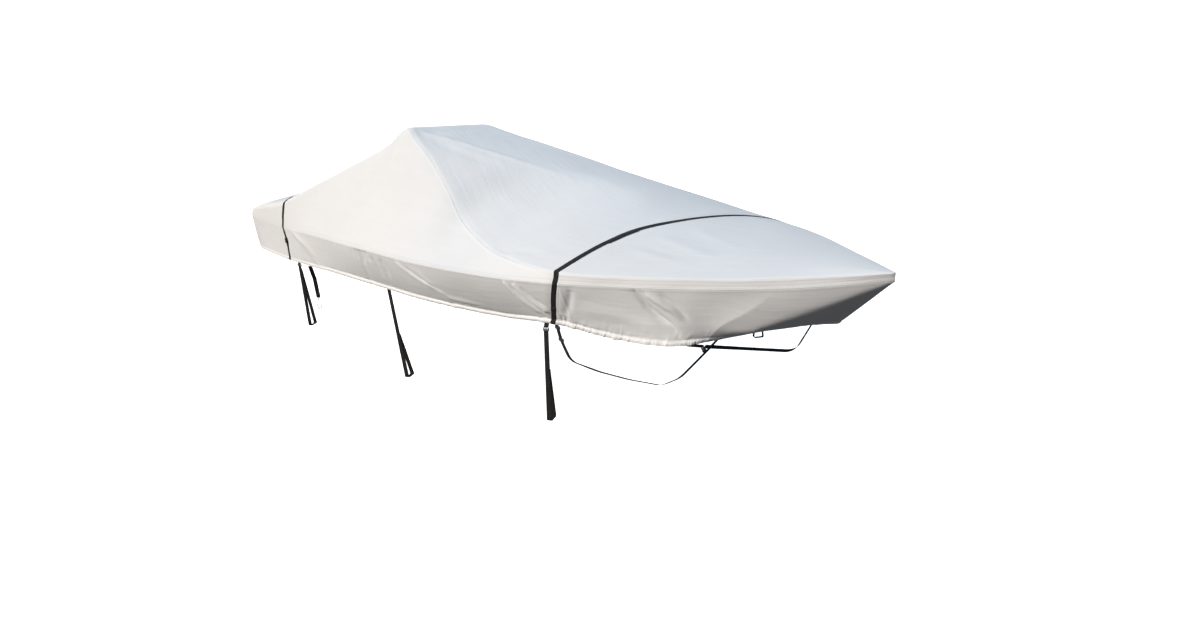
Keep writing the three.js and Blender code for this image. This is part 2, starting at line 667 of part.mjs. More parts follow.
// The panels. Each stops short of the seams that it shares, and keeps its own hem.
const BOW_ROW = stations.length - 1;
const JOIN_ROW = station(SKIRT_JOIN);
const ALL = ['aft', 'fore', 'left', 'right'];
const STAR_SKIRT = ['aft', 'fore', 'right'];
const PORT_SKIRT = ['aft', 'fore', 'left'];
add('top_panel', bodyPanel(0, BOW_ROW, HIP, LAST - HIP, ALL), cloth);
add('side_panel_starboard', bodyPanel(0, BOW_ROW, EDGE, HIP, ALL), cloth);
add('side_panel_port', bodyPanel(0, BOW_ROW, LAST - HIP, LAST - EDGE, ALL), cloth);
add('skirt_starboard_aft', bodyPanel(0, JOIN_ROW, 0, EDGE, STAR_SKIRT), cloth);
add('skirt_starboard_forward', bodyPanel(JOIN_ROW, BOW_ROW, 0, EDGE, STAR_SKIRT), cloth);
add('skirt_port_aft', bodyPanel(0, JOIN_ROW, LAST - EDGE, LAST, PORT_SKIRT), cloth);
add('skirt_port_forward', bodyPanel(JOIN_ROW, BOW_ROW, LAST - EDGE, LAST, PORT_SKIRT), cloth);
add('transom_panel', transomPanel(), cloth);

// The two straps over the deck, and what holds them on the starboard skirt.
const LAYER = WEB.clear + WEB.thick;
const ON_ONE = LAYER + SLIDER.play;
const ON_TWO = 2 * LAYER + SLIDER.play;
const FREE = WEB.thick / 2 + SLIDER.play;
add('strap_forward', laneStrip(FORWARD_STRAP, 0, LAST, WEB.clear), web);
add('strap_aft', laneStrip(REAR_STRAP, 0, LAST, WEB.clear), web);
add('keeper_forward', laneStrip(FORWARD_STRAP, FORWARD.keeperFrom, FORWARD.keeperTo, LAYER + WEB.clear), web);
add('strap_aft_doubling', laneStrip(REAR_STRAP, REAR.doublingFrom, REAR.doublingTo, LAYER + WEB.clear), web);
add('slider_aft', slider(ON_TWO, false, SLIDER.long), plastic, laneFrame(REAR_STRAP, REAR.slider, GAP));
add('ring_aft', slider(ON_ONE, false, SLIDER.short), plastic, laneFrame(REAR_STRAP, REAR.ring, GAP));

// The strap under the boat with its two sliders below the starboard hem.
const under = underRun();
add('strap_under', webbing(under, onHull), web);
for (const [name, distance] of [['upper', UNDER.upper], ['lower', UNDER.lower]]) {
  const frame = runFrame(under, distance, onHull);
  add(`slider_forward_${name}`, slider(FREE, true, SLIDER.short), steel, frame);
}

// The tie-down loops, with a slider at the top of the first and the last on each side.
for (const [word, side] of [['starboard', -1], ['port', 1]]) {
  for (const row of TIES) {
    const run = tieRun(row, side);
    const across = tieAcross(row, side);
    add(`tie_${row.name}_${word}`, webbing(run, across), web);
    if (row.slider) {
      const frame = runFrame(run, row.slider, across);
      add(`tie_slider_${row.name}_${word}`, slider(FREE, true, SLIDER.short), steel, frame);
    }
  }
}

add('bow_strap', webbing(bowRun(), flared), web);
add('bow_tab_starboard', webbing(bowTabRun(-1), flared), web);
add('bow_tab_port', webbing(bowTabRun(1), flared), web);
add('bow_knob', knob(), plastic, new THREE.Matrix4().setPosition(KNOB.at));
add('tail_aft', webbing(TAIL, lengthways), web);
add('tail_hook', wireHook(), steel);

// The origin is on the inner face of the top panel, at the highest point of the console ridge.
cover.position.set(-RIDGE, -tent.midOut(RIDGE), CLOTH - tent.midUp(RIDGE));

export default cover;
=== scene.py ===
import math

import bpy
import numpy as np
from mathutils import Matrix, Vector


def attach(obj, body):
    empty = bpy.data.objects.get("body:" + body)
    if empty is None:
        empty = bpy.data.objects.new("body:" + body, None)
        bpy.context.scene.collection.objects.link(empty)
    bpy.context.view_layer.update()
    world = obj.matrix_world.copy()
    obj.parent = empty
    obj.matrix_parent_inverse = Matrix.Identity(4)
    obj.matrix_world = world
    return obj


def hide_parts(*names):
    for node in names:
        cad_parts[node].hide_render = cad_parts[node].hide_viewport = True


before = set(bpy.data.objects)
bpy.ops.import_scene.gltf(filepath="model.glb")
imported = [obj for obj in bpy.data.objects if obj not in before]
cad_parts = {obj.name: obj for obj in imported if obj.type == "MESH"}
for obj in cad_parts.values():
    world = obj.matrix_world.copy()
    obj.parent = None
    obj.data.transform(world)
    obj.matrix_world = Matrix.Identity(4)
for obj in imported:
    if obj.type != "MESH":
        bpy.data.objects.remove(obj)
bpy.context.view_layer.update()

bpy.ops.object.select_all(action="DESELECT")


# The viewer stands off the starboard bow, a little above the highest part of the cover, and
# looks back and down along the boat.
EYE, LENS, SENSOR = (4.061, -2.606, 0.300), 24.5, 36
HEADING, DIP, LEAN = (math.radians(angle) for angle in (137.43, -16.96, -1.80))
lens = bpy.data.cameras.new("camera")
lens.sensor_width, lens.lens = SENSOR, LENS
camera = bpy.data.objects.new("camera", lens)
bpy.context.collection.objects.link(camera)


def toward(heading, height):
    """The direction with that heading round the upright and that height above the level."""
    flat = math.cos(height)
    return Vector((flat * math.cos(heading), flat * math.sin(heading), math.sin(height)))


look = toward(HEADING, DIP)
level = look.cross(Vector((0, 0, 1))).normalized()
upright = level.cross(look)
right = level * math.cos(LEAN) + upright * math.sin(LEAN)
top = upright * math.cos(LEAN) - level * math.sin(LEAN)
camera.matrix_world = Matrix.Translation(EYE) @ Matrix((right, top, -look)).transposed().to_4x4()
bpy.context.scene.camera = camera


# The tie-down loops: black polyester webbing 25 mm wide, sewn inside the hem and passed round a
# trailer's side rail. Sizes in millimetres are from the transom, from the boat's middle line and
# from the ground, and the row's origin is under the console ridge.
WEB_WIDTH, WEB_THICK = 25.0, 1.6
ORIGIN = np.array([1700.0, -300.0, 1770.0])


def to_row(points):
    return (np.asarray(points, float) - ORIGIN) / 1000


def new_piece(name, points, faces, coords, material):
    """A mesh piece in the row frame. coords holds, for each map, a (u, v) pair for every point."""
    mesh = bpy.data.meshes.new(name)
    mesh.from_pydata([tuple(p) for p in to_row(points)], [], [tuple(f) for f in faces])
    for layer, pairs in coords.items():
        uv = mesh.uv_layers.new(name=layer)
        corner = np.empty(len(mesh.loops), int)
        mesh.loops.foreach_get("vertex_index", corner)
        uv.data.foreach_set("uv", np.asarray(pairs, float)[corner].ravel() / 1000)
    mesh.polygons.foreach_set("use_smooth", [True] * len(mesh.polygons))
    mesh.materials.append(material)
    mesh.update()
    piece = bpy.data.objects.new(name, mesh)
    bpy.context.collection.objects.link(piece)
    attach(piece, "root")
    return piece


def new_material(name, color, rough, metal=0.0, sheen=0.0, specular=0.5):
    material = bpy.data.materials.new(name)
    material.use_nodes = True
    shader = material.node_tree.nodes["Principled BSDF"]
    for socket, value in (
        ("Base Color", (*color, 1)), ("Roughness", rough), ("Metallic", metal), ("Sheen Weight", sheen),
        ("Sheen Roughness", 0.5), ("Specular IOR Level", specular),
    ):
        shader.inputs[socket].default_value = value
    return material, shader


def node(owner, kind, values, **settings):
    """A node with the given inputs, each a value or another node's output."""
    made = owner.node_tree.nodes.new(kind)
    for key, value in settings.items():
        setattr(made, key, value)
    for key, value in values.items():
        if isinstance(value, bpy.types.NodeSocket):
            owner.node_tree.links.new(value, made.inputs[key])
        else:
            made.inputs[key].default_value = value
    return made


def number(material, operation, *values):
    return node(material, "ShaderNodeMath", dict(enumerate(values)), operation=operation).outputs[0]


def map_of(material, layer):
    return node(material, "ShaderNodeUVMap", {}, uv_map=layer).outputs["UV"]


def split_map(material, layer):
    """The two readings of one of the piece's own maps."""
    return node(material, "ShaderNodeSeparateXYZ", {0: map_of(material, layer)}).outputs[:2]


def object_place(material):
    return node(material, "ShaderNodeTexCoord", {}).outputs["Object"]


def stretched(material, vector, scale, **turned):
    return node(material, "ShaderNodeMapping", {"Vector": vector, "Scale": scale, **turned}).outputs[0]


def clouds(material, vector, scale, detail, rough=0.5):
    values = {"Vector": vector, "Scale": scale, "Detail": detail, "Roughness": rough}
    return node(material, "ShaderNodeTexNoise", values).outputs["Fac"]


def shades(material, factor, dark, pale, start=0.0, stop=1.0):
    """Goes from a dark shade to a pale one as the factor goes from start to stop."""
    ramp = node(material, "ShaderNodeValToRGB", {0: factor})
    for end, place, color in zip(ramp.color_ramp.elements, (start, stop), (dark, pale)):
        end.position, end.color = place, (*color, 1)
    return ramp.outputs[0]


def covered(material, share, under, color):
    values = {0: share, 6: under, 7: (*color, 1)}
    return node(material, "ShaderNodeMix", values, data_type="RGBA").outputs[2]


def relief_of(material, height, strength, distance, **under):
    values = {"Strength": strength, "Distance": distance, "Height": height, **under}
    return node(material, "ShaderNodeBump", values).outputs[0]


def finish(material, shader, **outputs):
    """Joins finished colours and reliefs to the shader, and gives the material."""
    for socket, out in outputs.items():
        material.node_tree.links.new(out, shader.inputs[socket.replace("_", " ")])
    return material


def webbing_material():
    material, shader = new_material("black_webbing", (0.008, 0.008, 0.009), 0.7, sheen=0.04, specular=0.2)
    uv = map_of(material, "strap")
    # Ribs across the strap every 2.1 mm, crossed by finer warp threads along it.
    rib, warp = (
        number(material, "SINE", number(material, "MULTIPLY", way, 2 * math.pi / apart))
        for way, apart in zip(split_map(material, "strap"), (0.0021, 0.0016))
    )
    weave = relief_of(material, number(material, "MULTIPLY_ADD", rib, warp, rib), 0.5, 0.0004)
    # Dust in the weave and a paler, rubbed look in places.
    rubbed = clouds(material, uv, 22.0, 4.0)
    black = shades(material, rubbed, (0.005, 0.005, 0.006), (0.013, 0.013, 0.015), 0.35, 0.75)
    # Where webbing is sewn down: a box of stitches with a cross, 25 mm long, in grey-black thread.
    far, side = split_map(material, "sewn")
    side = number(material, "ABSOLUTE", side)
    slant = number(material, "ABSOLUTE", number(material, "MULTIPLY_ADD", far, 0.76, -0.0125))
    thread = 0.0
    for line, value in ((far, 0.004), (far, 0.029), (side, 0.0095), (side, slant)):
        thread = number(material, "MAXIMUM", number(material, "COMPARE", line, value, 0.0005), thread)
    dashes = node(material, "ShaderNodeTexWave", {"Vector": uv, "Scale": 70.0}, bands_direction="DIAGONAL")
    for line, test, limit in (
        (far, "LESS_THAN", 0.0295), (side, "LESS_THAN", 0.010),
        (far, "GREATER_THAN", 0.0035), (dashes.outputs["Fac"], "GREATER_THAN", 0.25),
    ):
        thread = number(material, "MULTIPLY", thread, number(material, test, line, limit))
    sewn = covered(material, thread, black, (0.05, 0.05, 0.052))
    return finish(material, shader, Normal=weave, Base_Color=sewn)


black_web = webbing_material()


def unit(ways):
    return ways / np.linalg.norm(ways, axis=-1, keepdims=True)


def run_along(line):
    """How far along the line each of its points is."""
    return np.concatenate([[0], np.cumsum(np.linalg.norm(np.diff(line, axis=0), axis=1))])


def even_steps(line, step=6):
    line = np.asarray(line, float)
    far = run_along(line)
    where = np.linspace(0, far[-1], max(2, int(far[-1] / step) + 1))
    return np.stack([np.interp(where, far, line[:, k]) for k in range(3)], 1)


def soft_route(points, radius):
    """A run of straight lengths with every corner turned in a soft bend."""
    points = [np.asarray(p, float) for p in points]
    run = [points[0]]
    for before, corner, after in zip(points, points[1:], points[2:]):
        start, stop = (
            corner + (end - corner) * min(radius / np.linalg.norm(end - corner), 0.45)
            for end in (before, after)
        )
        run += [(1 - t) ** 2 * start + 2 * t * (1 - t) * corner + t * t * stop for t in np.linspace(0, 1, 7)]
    return even_steps(run + [points[-1]])


# The section of flat webbing: across in half widths, up in half thicknesses.
WEB_SECTION = [
    (-1, 0.25), (-0.96, 0.8), (-0.86, 1), (-0.4, 1.05), (0.4, 1.05), (0.86, 1), (0.96, 0.8), (1, 0.25),
]
WEB_SECTION += [(-across, -up) for across, up in WEB_SECTION]
WEB_ACROSS, WEB_UP = (np.array(WEB_SECTION) * (WEB_WIDTH / 2, WEB_THICK / 2)).T


def webbing(name, line, across, sewn="start"):
    """Webbing along a line. across is the way its width lies, one for all points or one each.
    sewn says which ends are stitched down: start or both."""
    line = np.asarray(line, float)
    along = unit(np.gradient(line, axis=0))
    across = np.broadcast_to(np.asarray(across, float), line.shape)
    across = unit(across - (across * along).sum(1, keepdims=True) * along)
    out = np.cross(along, across)
    points = line[:, None] + across[:, None] * WEB_ACROSS[:, None] + out[:, None] * WEB_UP[:, None]
    return web_piece(name, points.reshape(-1, 3), run_along(line), sewn)


def web_piece(name, points, far, sewn):
    """Closed webbing from one ring of points at each distance."""
    count = len(WEB_ACROSS)
    faces = [tuple(range(count - 1, -1, -1)), tuple(range((len(far) - 1) * count, len(far) * count))]
    for i in range(len(far) - 1):
        for k in range(count):
            a, b = i * count + k, i * count + (k + 1) % count
            faces.append((a, b, b + count, a + count))
    to_end = {"start": far, "both": np.minimum(far, far[-1] - far)}[sewn]
    coords = {
        layer: np.stack(np.broadcast_arrays(run[:, None], WEB_ACROSS), -1).reshape(-1, 2)
        for layer, run in (("strap", far), ("sewn", to_end))
    }
    piece = new_piece(name, points, faces, coords, black_web)
    bpy.context.view_layer.objects.active = piece
    piece.select_set(True)
    bpy.ops.object.mode_set(mode="EDIT")
    bpy.ops.mesh.select_all(action="SELECT")
    bpy.ops.mesh.normals_make_consistent(inside=False)
    bpy.ops.object.mode_set(mode="OBJECT")
    piece.select_set(False)
    return piece


def steel_material():
    material, shader = new_material("plated_steel", (0.42, 0.43, 0.45), 0.34, metal=1.0)
    place = object_place(material)
    brushed = clouds(material, stretched(material, place, (60.0, 60.0, 900.0)), 3.0, 3.0)
    dull = clouds(material, place, 140.0, 5.0)
    return finish(
        material, shader, Normal=relief_of(material, brushed, 0.3, 0.0002),
        Roughness=node(material, "ShaderNodeMapRange", {0: brushed, 3: 0.24, 4: 0.46}).outputs[0],
        Base_Color=shades(material, dull, (0.24, 0.245, 0.26), (0.48, 0.49, 0.50), 0.35, 0.7),
    )


plated_steel = steel_material()
CORNER = math.radians(40)


def pick(piece=None):
    bpy.ops.object.select_all(action="DESELECT")
    if piece:
        piece.select_set(True)
        bpy.context.view_layer.objects.active = piece


def in_edit_mode(piece, choose, action):
    """Runs an edit-mode action on the faces that choose(centre, normal) picks."""
    pick(piece)
    bpy.ops.object.mode_set(mode="EDIT")
    bpy.ops.mesh.select_mode(type="FACE")
    bpy.ops.mesh.select_all(action="DESELECT")
    bpy.ops.object.mode_set(mode="OBJECT")
    for face in piece.data.polygons:
        face.select = bool(choose(face.center, face.normal))
    bpy.ops.object.mode_set(mode="EDIT")
    action()
    bpy.ops.object.mode_set(mode="OBJECT")


def rounded(piece, width, material, segments=3):
    """Rounds every edge, shades the piece smooth and gives it its material."""
    pick(piece)
    bevel = piece.modifiers.new("edges", "BEVEL")
    bevel.width, bevel.segments, bevel.limit_method, bevel.angle_limit = width, segments, "ANGLE", CORNER
    bpy.ops.object.modifier_apply(modifier=bevel.name)
    bpy.ops.object.shade_smooth_by_angle(angle=CORNER)
    pick()
    piece.data.materials.append(material)
    return piece


def slotted_bar(name, wide, long, thick, wall):
    """A pressed sleeve that webbing passes through along its own y axis, at the origin."""
    pick()
    bpy.ops.mesh.primitive_cube_add(size=1, scale=(wide, long, thick))
    piece = bpy.context.object
    piece.name = piece.data.name = name
    bpy.ops.object.transform_apply(location=True, rotation=True, scale=True)

    def open_ends():
        bpy.ops.mesh.inset(thickness=wall)
        bpy.ops.mesh.delete(type="FACE")
        bpy.ops.mesh.select_mode(type="EDGE")
        bpy.ops.mesh.select_all(action="DESELECT")
        bpy.ops.mesh.select_non_manifold()
        bpy.ops.mesh.bridge_edge_loops()
        bpy.ops.mesh.select_all(action="SELECT")
        bpy.ops.mesh.normals_make_consistent(inside=False)

    in_edit_mode(piece, lambda centre, normal: abs(normal.y) > 0.9, open_ends)
    return rounded(piece, 0.0007, plated_steel)


def placed(at, across, along):
    """Where a fitting stands on webbing: x across it, y along it, z out of it."""
    where = Matrix(np.stack([across, along, np.cross(across, along)], 1).tolist()).to_4x4()
    where.translation = to_row(at).tolist()
    return where


def seat_on(line, distance, across):
    far = run_along(line)
    i = int(np.clip(np.searchsorted(far, distance), 1, len(line) - 1))
    along = unit(line[i] - line[i - 1])
    across = np.broadcast_to(across, line.shape)[i]
    at = line[i - 1] + along * (distance - far[i - 1])
    return placed(at, unit(across - across.dot(along) * along), along)


def set_in_place(pattern, name, where, stands_for):
    """A copy of a finished fitting, with its own mesh, set where it belongs."""
    piece = pattern.copy()
    piece.data = pattern.data.copy()
    piece.name = piece.data.name = name
    bpy.context.collection.objects.link(piece)
    piece.data.transform(where)
    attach(piece, "root")
    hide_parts(stands_for)
    return piece


# The sliders on the loops and on the hull strap are pressed from 2 mm plated steel strip.
sleeve = slotted_bar("sleeve_pattern", wide=0.0302, long=0.014, thick=0.0068, wall=0.002)

# Each loop drops from the hem, goes under a rail 52 mm wide and comes up inside, where its end
# is sewn to its own outer leg. The first and the last have a steel slider near the top.
RAIL, LEG_GAP, STRAIGHT, BEND, OFF_HEM = 52, 3, 60, 9, math.radians(20)
SIDES = (("starboard", -1), ("port", 1))
TIES = [
    dict(name="aft", top=(838, 912, 968), foot=(750, 860, 512), heel_at=712, back=52, slider=30),
    dict(name="middle", top=(1837, 848, 949), foot=(1938, 848, 462), heel_at=1905, back=246),
    dict(
        name="forward", top=(3066, 757, 976), foot=(3110, 800, 549), heel_at=3080, back=190, slider=12,
        hem=(3063, 742, 1010),
    ),
]
for word, side in SIDES:
    mirror = (1.0, side, 1.0)
    for tie in TIES:
        named = f"{tie['name']}_{word}"
        top_end, foot = np.array(tie["top"]) * mirror, np.array(tie["foot"]) * mirror
        heel = np.array([tie["heel_at"], foot[1] - side * RAIL, foot[2]])
        back = top_end + (foot - top_end) * tie["back"] / (top_end[2] - foot[2])
        back[1] -= side * LEG_GAP
        line = soft_route([top_end, foot, heel, back], BEND)
        # Its width is a little off the hem's line down to below the slider, then turns square to
        # the rail.
        off = np.array([math.cos(OFF_HEM), -side * math.sin(OFF_HEM), 0])
        square = unit(np.array([RAIL, side * (tie["heel_at"] - tie["foot"][0]), 0]))
        start = top_end[2] - STRAIGHT
        turned = np.clip((start - line[:, 2:]) / (start - foot[2] - BEND), 0, 1)
        across = off * (1 - turned) + square * turned
        piece = webbing(f"loop_{named}", line, across, sewn="both")
        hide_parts(f"tie_{named}")
        on = []
        if "slider" in tie:
            where = seat_on(line, tie["slider"], across)
            on = [set_in_place(sleeve, f"loop_sleeve_{named}", where, f"tie_slider_{named}")]
        if "hem" in tie:
            root = even_steps([np.array(tie["hem"]) * mirror, top_end - (0, 0, 6)], 4)
            on.append(webbing(f"loop_tab_{named}", root, off))


def ease(x):
    x = np.clip(x, 0, 1)
    return x * x * (3 - 2 * x)


# The hull strap: the same webbing, sewn inside both hems under the forward deck strap, round the
# chines and under the keel. Two steel sleeves like those of the loops tighten it to starboard.
# On the bottom it tilts, because the hull there rises towards the bow.
CHINE = dict(up=720, round=130, tilt=0.35)
half = [
    (3121, -739, 990), (3122, -720, 916), (3120, -667, 803), (3120, -495, 702), (3120, -300, 606),
    (3120, -70, 507),
]
line = soft_route(half + [(x, -y, z) for x, y, z in reversed(half)], 40)
rise = CHINE["tilt"] * (1 - ease((line[:, 2:] - CHINE["up"]) / CHINE["round"]))
on_hull = (1, 0, 0) + rise * (0, 0, 1)
hull_strap = webbing("hull_strap", line, on_hull, sewn="both")
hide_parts("strap_under")
for word, down in (("upper", 12), ("lower", 76)):
    where = seat_on(line, down, on_hull)
    set_in_place(sleeve, f"hull_sleeve_{word}", where, f"slider_forward_{word}")
bpy.data.objects.remove(sleeve)


# The stem strap holds the cover's nose down: webbing from a tab sewn inside each bow hem round the
# stem, lying on the flare of the hull. A moulded nylon toggle sits on its starboard end.
def flared(line, inside=(3500, 0, 0), lean=0.9):
    """Webbing at the bow leans out with the hull's flare, away from a point inside the hull."""
    return unit((line - inside) * (1, 1, 0)) * lean + (0, 0, 1)


def nylon_material():
    material, shader = new_material("black_nylon", (0.012, 0.012, 0.013), 0.42, specular=0.4)
    place = object_place(material)
    scuff = clouds(material, place, 190.0, 4.0)
    return finish(
        material, shader, Normal=relief_of(material, clouds(material, place, 2600.0, 2.0), 0.35, 0.0001),
        Roughness=node(material, "ShaderNodeMapRange", {0: scuff, 3: 0.34, 4: 0.58}).outputs[0],
        Base_Color=shades(material, scuff, (0.008, 0.008, 0.009), (0.022, 0.022, 0.023)),
    )


black_nylon = nylon_material()


def toggle():
    """A barrel with a waist round its middle and a pressed button in its head, at the origin."""
    pick()
    bpy.ops.mesh.primitive_cylinder_add(vertices=32, radius=0.0105, depth=0.017)
    piece = bpy.context.object
    piece.name = piece.data.name = "toggle_pattern"

    def button():
        for rim, up in ((0.0032, -0.0012), (0.0008, 0.0036)):
            bpy.ops.mesh.inset(thickness=rim)
            bpy.ops.mesh.extrude_region_move(TRANSFORM_OT_translate={"value": (0, 0, up)})

    def waist():
        bpy.ops.mesh.bisect(plane_co=(0, 0, 0.0026), plane_no=(0, 0, 1))
        bpy.ops.mesh.select_all(action="SELECT")
        bpy.ops.mesh.bisect(plane_co=(0, 0, -0.0034), plane_no=(0, 0, 1))

    def pull_in():
        bpy.ops.transform.resize(value=(0.84, 0.84, 1), center_override=(0, 0, 0))

    def on_waist(centre, normal):
        return abs(centre.z + 0.0004) < 0.0005 and abs(normal.z) < 0.5

    in_edit_mode(piece, lambda centre, normal: normal.z > 0.9, button)
    in_edit_mode(piece, lambda centre, normal: True, waist)
    in_edit_mode(piece, on_waist, pull_in)
    return rounded(piece, 0.0011, black_nylon)


BOW_END = np.array([3720.0, -455.0, 957.0])
line = soft_route([BOW_END, (3853, 0, 848), BOW_END * (1, -1, 1)], 60)
stem_strap = webbing("stem_strap", line, flared(line), sewn="both")
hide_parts("bow_strap")
lean_out = unit(flared(line)[0])
run_way = unit(np.cross(lean_out, np.cross(line[1] - line[0], lean_out)))
pattern = toggle()
where = placed((3726, -466, 948), run_way, lean_out)
knob = set_in_place(pattern, "stem_toggle", where, "bow_knob")
bpy.data.objects.remove(pattern)
for word, side in SIDES:
    start, end = np.array([3664, side * 500, 962]), BOW_END * (1, -side, 1)
    tab_line = even_steps([start, end + unit(start - end) * 3])
    webbing(f"stem_tab_{word}", tab_line, flared(tab_line))
    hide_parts(f"bow_tab_{word}")


# The loose tail beside the aft loop: 220 mm of webbing sewn inside the starboard hem, with a wire
# hook at its end, 4 mm thick with its coat of black nylon. The hook's eye passes through the fold
# at the webbing's end.
line = even_steps([(978, -905, 953), (944, -872, 861), (956, -868, 743)])
loose_tail = webbing("loose_tail", line, (0.6, 0.8, 0), sewn="both")
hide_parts("tail_aft")


def wire_hook():
    """Bent wire, dipped in black nylon: an eye as wide as the webbing, a shank and a round open hook."""
    bends = [
        (969, -866, 742), (943, -866, 742), (939, -865, 737), (944, -864, 731), (948, -864, 727),
        (934, -864, 722), (916, -864, 715), (911, -864, 700), (913, -864, 683), (924, -864, 669),
        (940, -864, 663), (957, -864, 665), (970, -864, 674), (975, -864, 688), (976, -864, 697),
    ]
    pick()
    bpy.ops.curve.primitive_nurbs_path_add()
    path = bpy.context.object
    spline = path.data.splines[0]
    spline.points.add(len(bends) - len(spline.points))
    for held, spot in zip(spline.points, to_row(bends)):
        held.co = (*spot, 1)
    spline.order_u, spline.use_endpoint_u, spline.resolution_u = 3, True, 6
    path.data.bevel_depth, path.data.bevel_resolution, path.data.use_fill_caps = 0.0021, 4, True
    bpy.ops.object.convert(target="MESH")
    piece = bpy.context.object
    piece.name = piece.data.name = "wire_hook"
    bpy.ops.object.shade_smooth_by_angle(angle=CORNER)
    piece.data.materials.clear()
    piece.data.materials.append(black_nylon)
    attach(piece, "root")
    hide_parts("tail_hook")
    return piece


wire_hook()


# The cloth body: light grey coated polyester, cut as a top panel, two side panels, two skirts
# of two lengths each and a transom panel, and pulled tight over the gunwales and a frame.
def rows(columns, values):
    """A table with named columns."""
    return [dict(zip(columns.split(), row)) for row in values]


# Rows give the gunwale edge and the hem, then the two hips and the ridge of the top panel. flat
# is 1 where the top panel is stretched flat on both sides of its ridge.
HULL = rows("at beam edge hem_at hem_out hem_up", [
    (0, 832, 1163, 22, 815, 934),
    (40, 868, 1163, 50, 848, 939),
    (300, 905, 1165, 300, 902, 958),
    (700, 930, 1168, 745, 926, 961),
    (1300, 945, 1172, 1300, 905, 968),
    (1800, 950, 1177, 1800, 850, 955),
    (2300, 950, 1183, 2300, 836, 963),
    (2800, 900, 1192, 2780, 775, 974),
    (3190, 800, 1200, 3109, 741, 999),
    (3500, 652, 1204, 3426, 649, 969),
    (3700, 523, 1206, 3640, 555, 968),
    (3850, 409, 1208, 3745, 410, 984),
    (4000, 286, 1214, 3845, 235, 998),
    (4150, 146, 1225, 3965, 70, 1010),
    (4290, 0, 1238, 4058, 0, 1020),
])
RAISED = rows("at star_out star_up mid_out mid_up port_out port_up flat", [
    (0, 822, 1200, 0, 1240, 822, 1200, 0),
    (40, 856, 1209, 0, 1252, 856, 1209, 0),
    (300, 888, 1266, 0, 1332, 888, 1258, 0),
    (700, 898, 1325, 0, 1434, 890, 1310, 0),
    (1000, 800, 1450, -40, 1510, 690, 1400, 0),
    (1350, 676, 1596, -170, 1624, 350, 1566, 0.2),
    (1560, 606, 1692, -270, 1700, 90, 1692, 0.4),
    (1700, 572, 1780, -300, 1772, -30, 1762, 0.5),
    (1800, 582, 1728, -400, 1746, 25, 1728, 0.6),
    (1970, 602, 1630, -410, 1684, 118, 1664, 0.8),
    (2190, 650, 1492, -285, 1616, 240, 1586, 0.85),
    (2380, 700, 1362, -135, 1558, 350, 1517, 0.85),
    (2600, 758, 1300, 0, 1497, 475, 1440, 0.8),
    (2820, 800, 1270, 60, 1441, 600, 1362, 0.5),
    (3190, 785, 1245, -100, 1352, 788, 1240, 0),
    (3500, 639, 1247, -80, 1314, 641, 1239, 0),
    (3850, 392, 1250, -40, 1283, 398, 1243, 0),
    (4150, 131, 1263, 0, 1278, 140, 1260, 0),
    (4290, 7, 1273, 0, 1273, 7, 1273, 0),
])
# The skirt's main folds, from where each starts at the gunwale to where it ends at the hem.
FOLDS = rows("side edge hem rise width", [
    (-1, 860, 1180, 6, 60),
    (-1, 1748, 1690, -5, 45),
    (-1, 2215, 2470, 6, 50),
    (-1, 2930, 3130, 5, 40),
    (-1, 2980, 3200, 5, 44),
    (-1, 3262, 3245, -5, 44),
    (-1, 3478, 3738, -8, 44),
    (-1, 3550, 3800, 4, 50),
    (1, 1010, 1250, 6, 60),
    (1, 1925, 1865, -5, 50),
    (1, 2470, 2700, 7, 50),
    (1, 2985, 3140, 8, 44),
    (1, 3262, 3242, -7, 44),
    (1, 3460, 3720, -8, 44),
    (1, 3545, 3780, 7, 50),
])
CLOTH_THICK, HEM_DEEP = 0.0009, 24
STEM_AT, NOSE, SKIRT_JOIN, FORWARD_STRAP, REAR_STRAP = 4290, 9, 3216, 3190, 700

# The skirt lies in two planes at the bow, which meet along a crest from the gunwale to the hem.
CREST = dict(edge=3964, hem=3830, rise=18, width=110)

# Places across the cover, counted from the starboard hem: the gunwale seam, where the soft
# round of the hip starts, the hip seam, where the round ends, and the same on the port side.
EDGE, ROUND_FROM, HIP, ROUND_TO = 4.0, 6.0, 8.0, 10.0
PORT_ROUND_TO, PORT_HIP, PORT_EDGE, PORT_HEM = 17.0, 19.0, 23.0, 27.0
ROUND_REACH, FOLDED_CLOTH, PINCH_APART, TIP_WIDTH = 36, 0.5, 10.5, 0.02


def smooth_columns(table):
    """One smooth curve for each column of a table, sloped at each row by its neighbours."""
    at = np.array([row["at"] for row in table], float)
    before, after = np.maximum(np.arange(len(at)) - 1, 0), np.minimum(np.arange(len(at)) + 1, len(at) - 1)

    def curve(name):
        value = np.array([row[name] for row in table], float)
        slope = (value[after] - value[before]) / (at[after] - at[before])

        def read(x):
            i = np.clip(np.searchsorted(at, x, side="left") - 1, 0, len(at) - 2)
            span = at[i + 1] - at[i]
            t = (x - at[i]) / span
            eased = t * t * (3 - 2 * t)
            rise = span * t * (1 - t) * ((1 - t) * slope[i] - t * slope[i + 1])
            return value[i] * (1 - eased) + value[i + 1] * eased + rise

        return read

    return {name: curve(name) for name in table[0] if name != "at"}


hull_at, raised_at = smooth_columns(HULL), smooth_columns(RAISED)


def point(x, y, z):
    return np.stack(np.broadcast_arrays(x, y, z), -1).astype(float)


def mix(a, b, t):
    return a + (b - a) * np.asarray(t)[..., None]


def arc(a, corner, b, t):
    return mix(mix(a, corner, t), mix(corner, b, t), t)


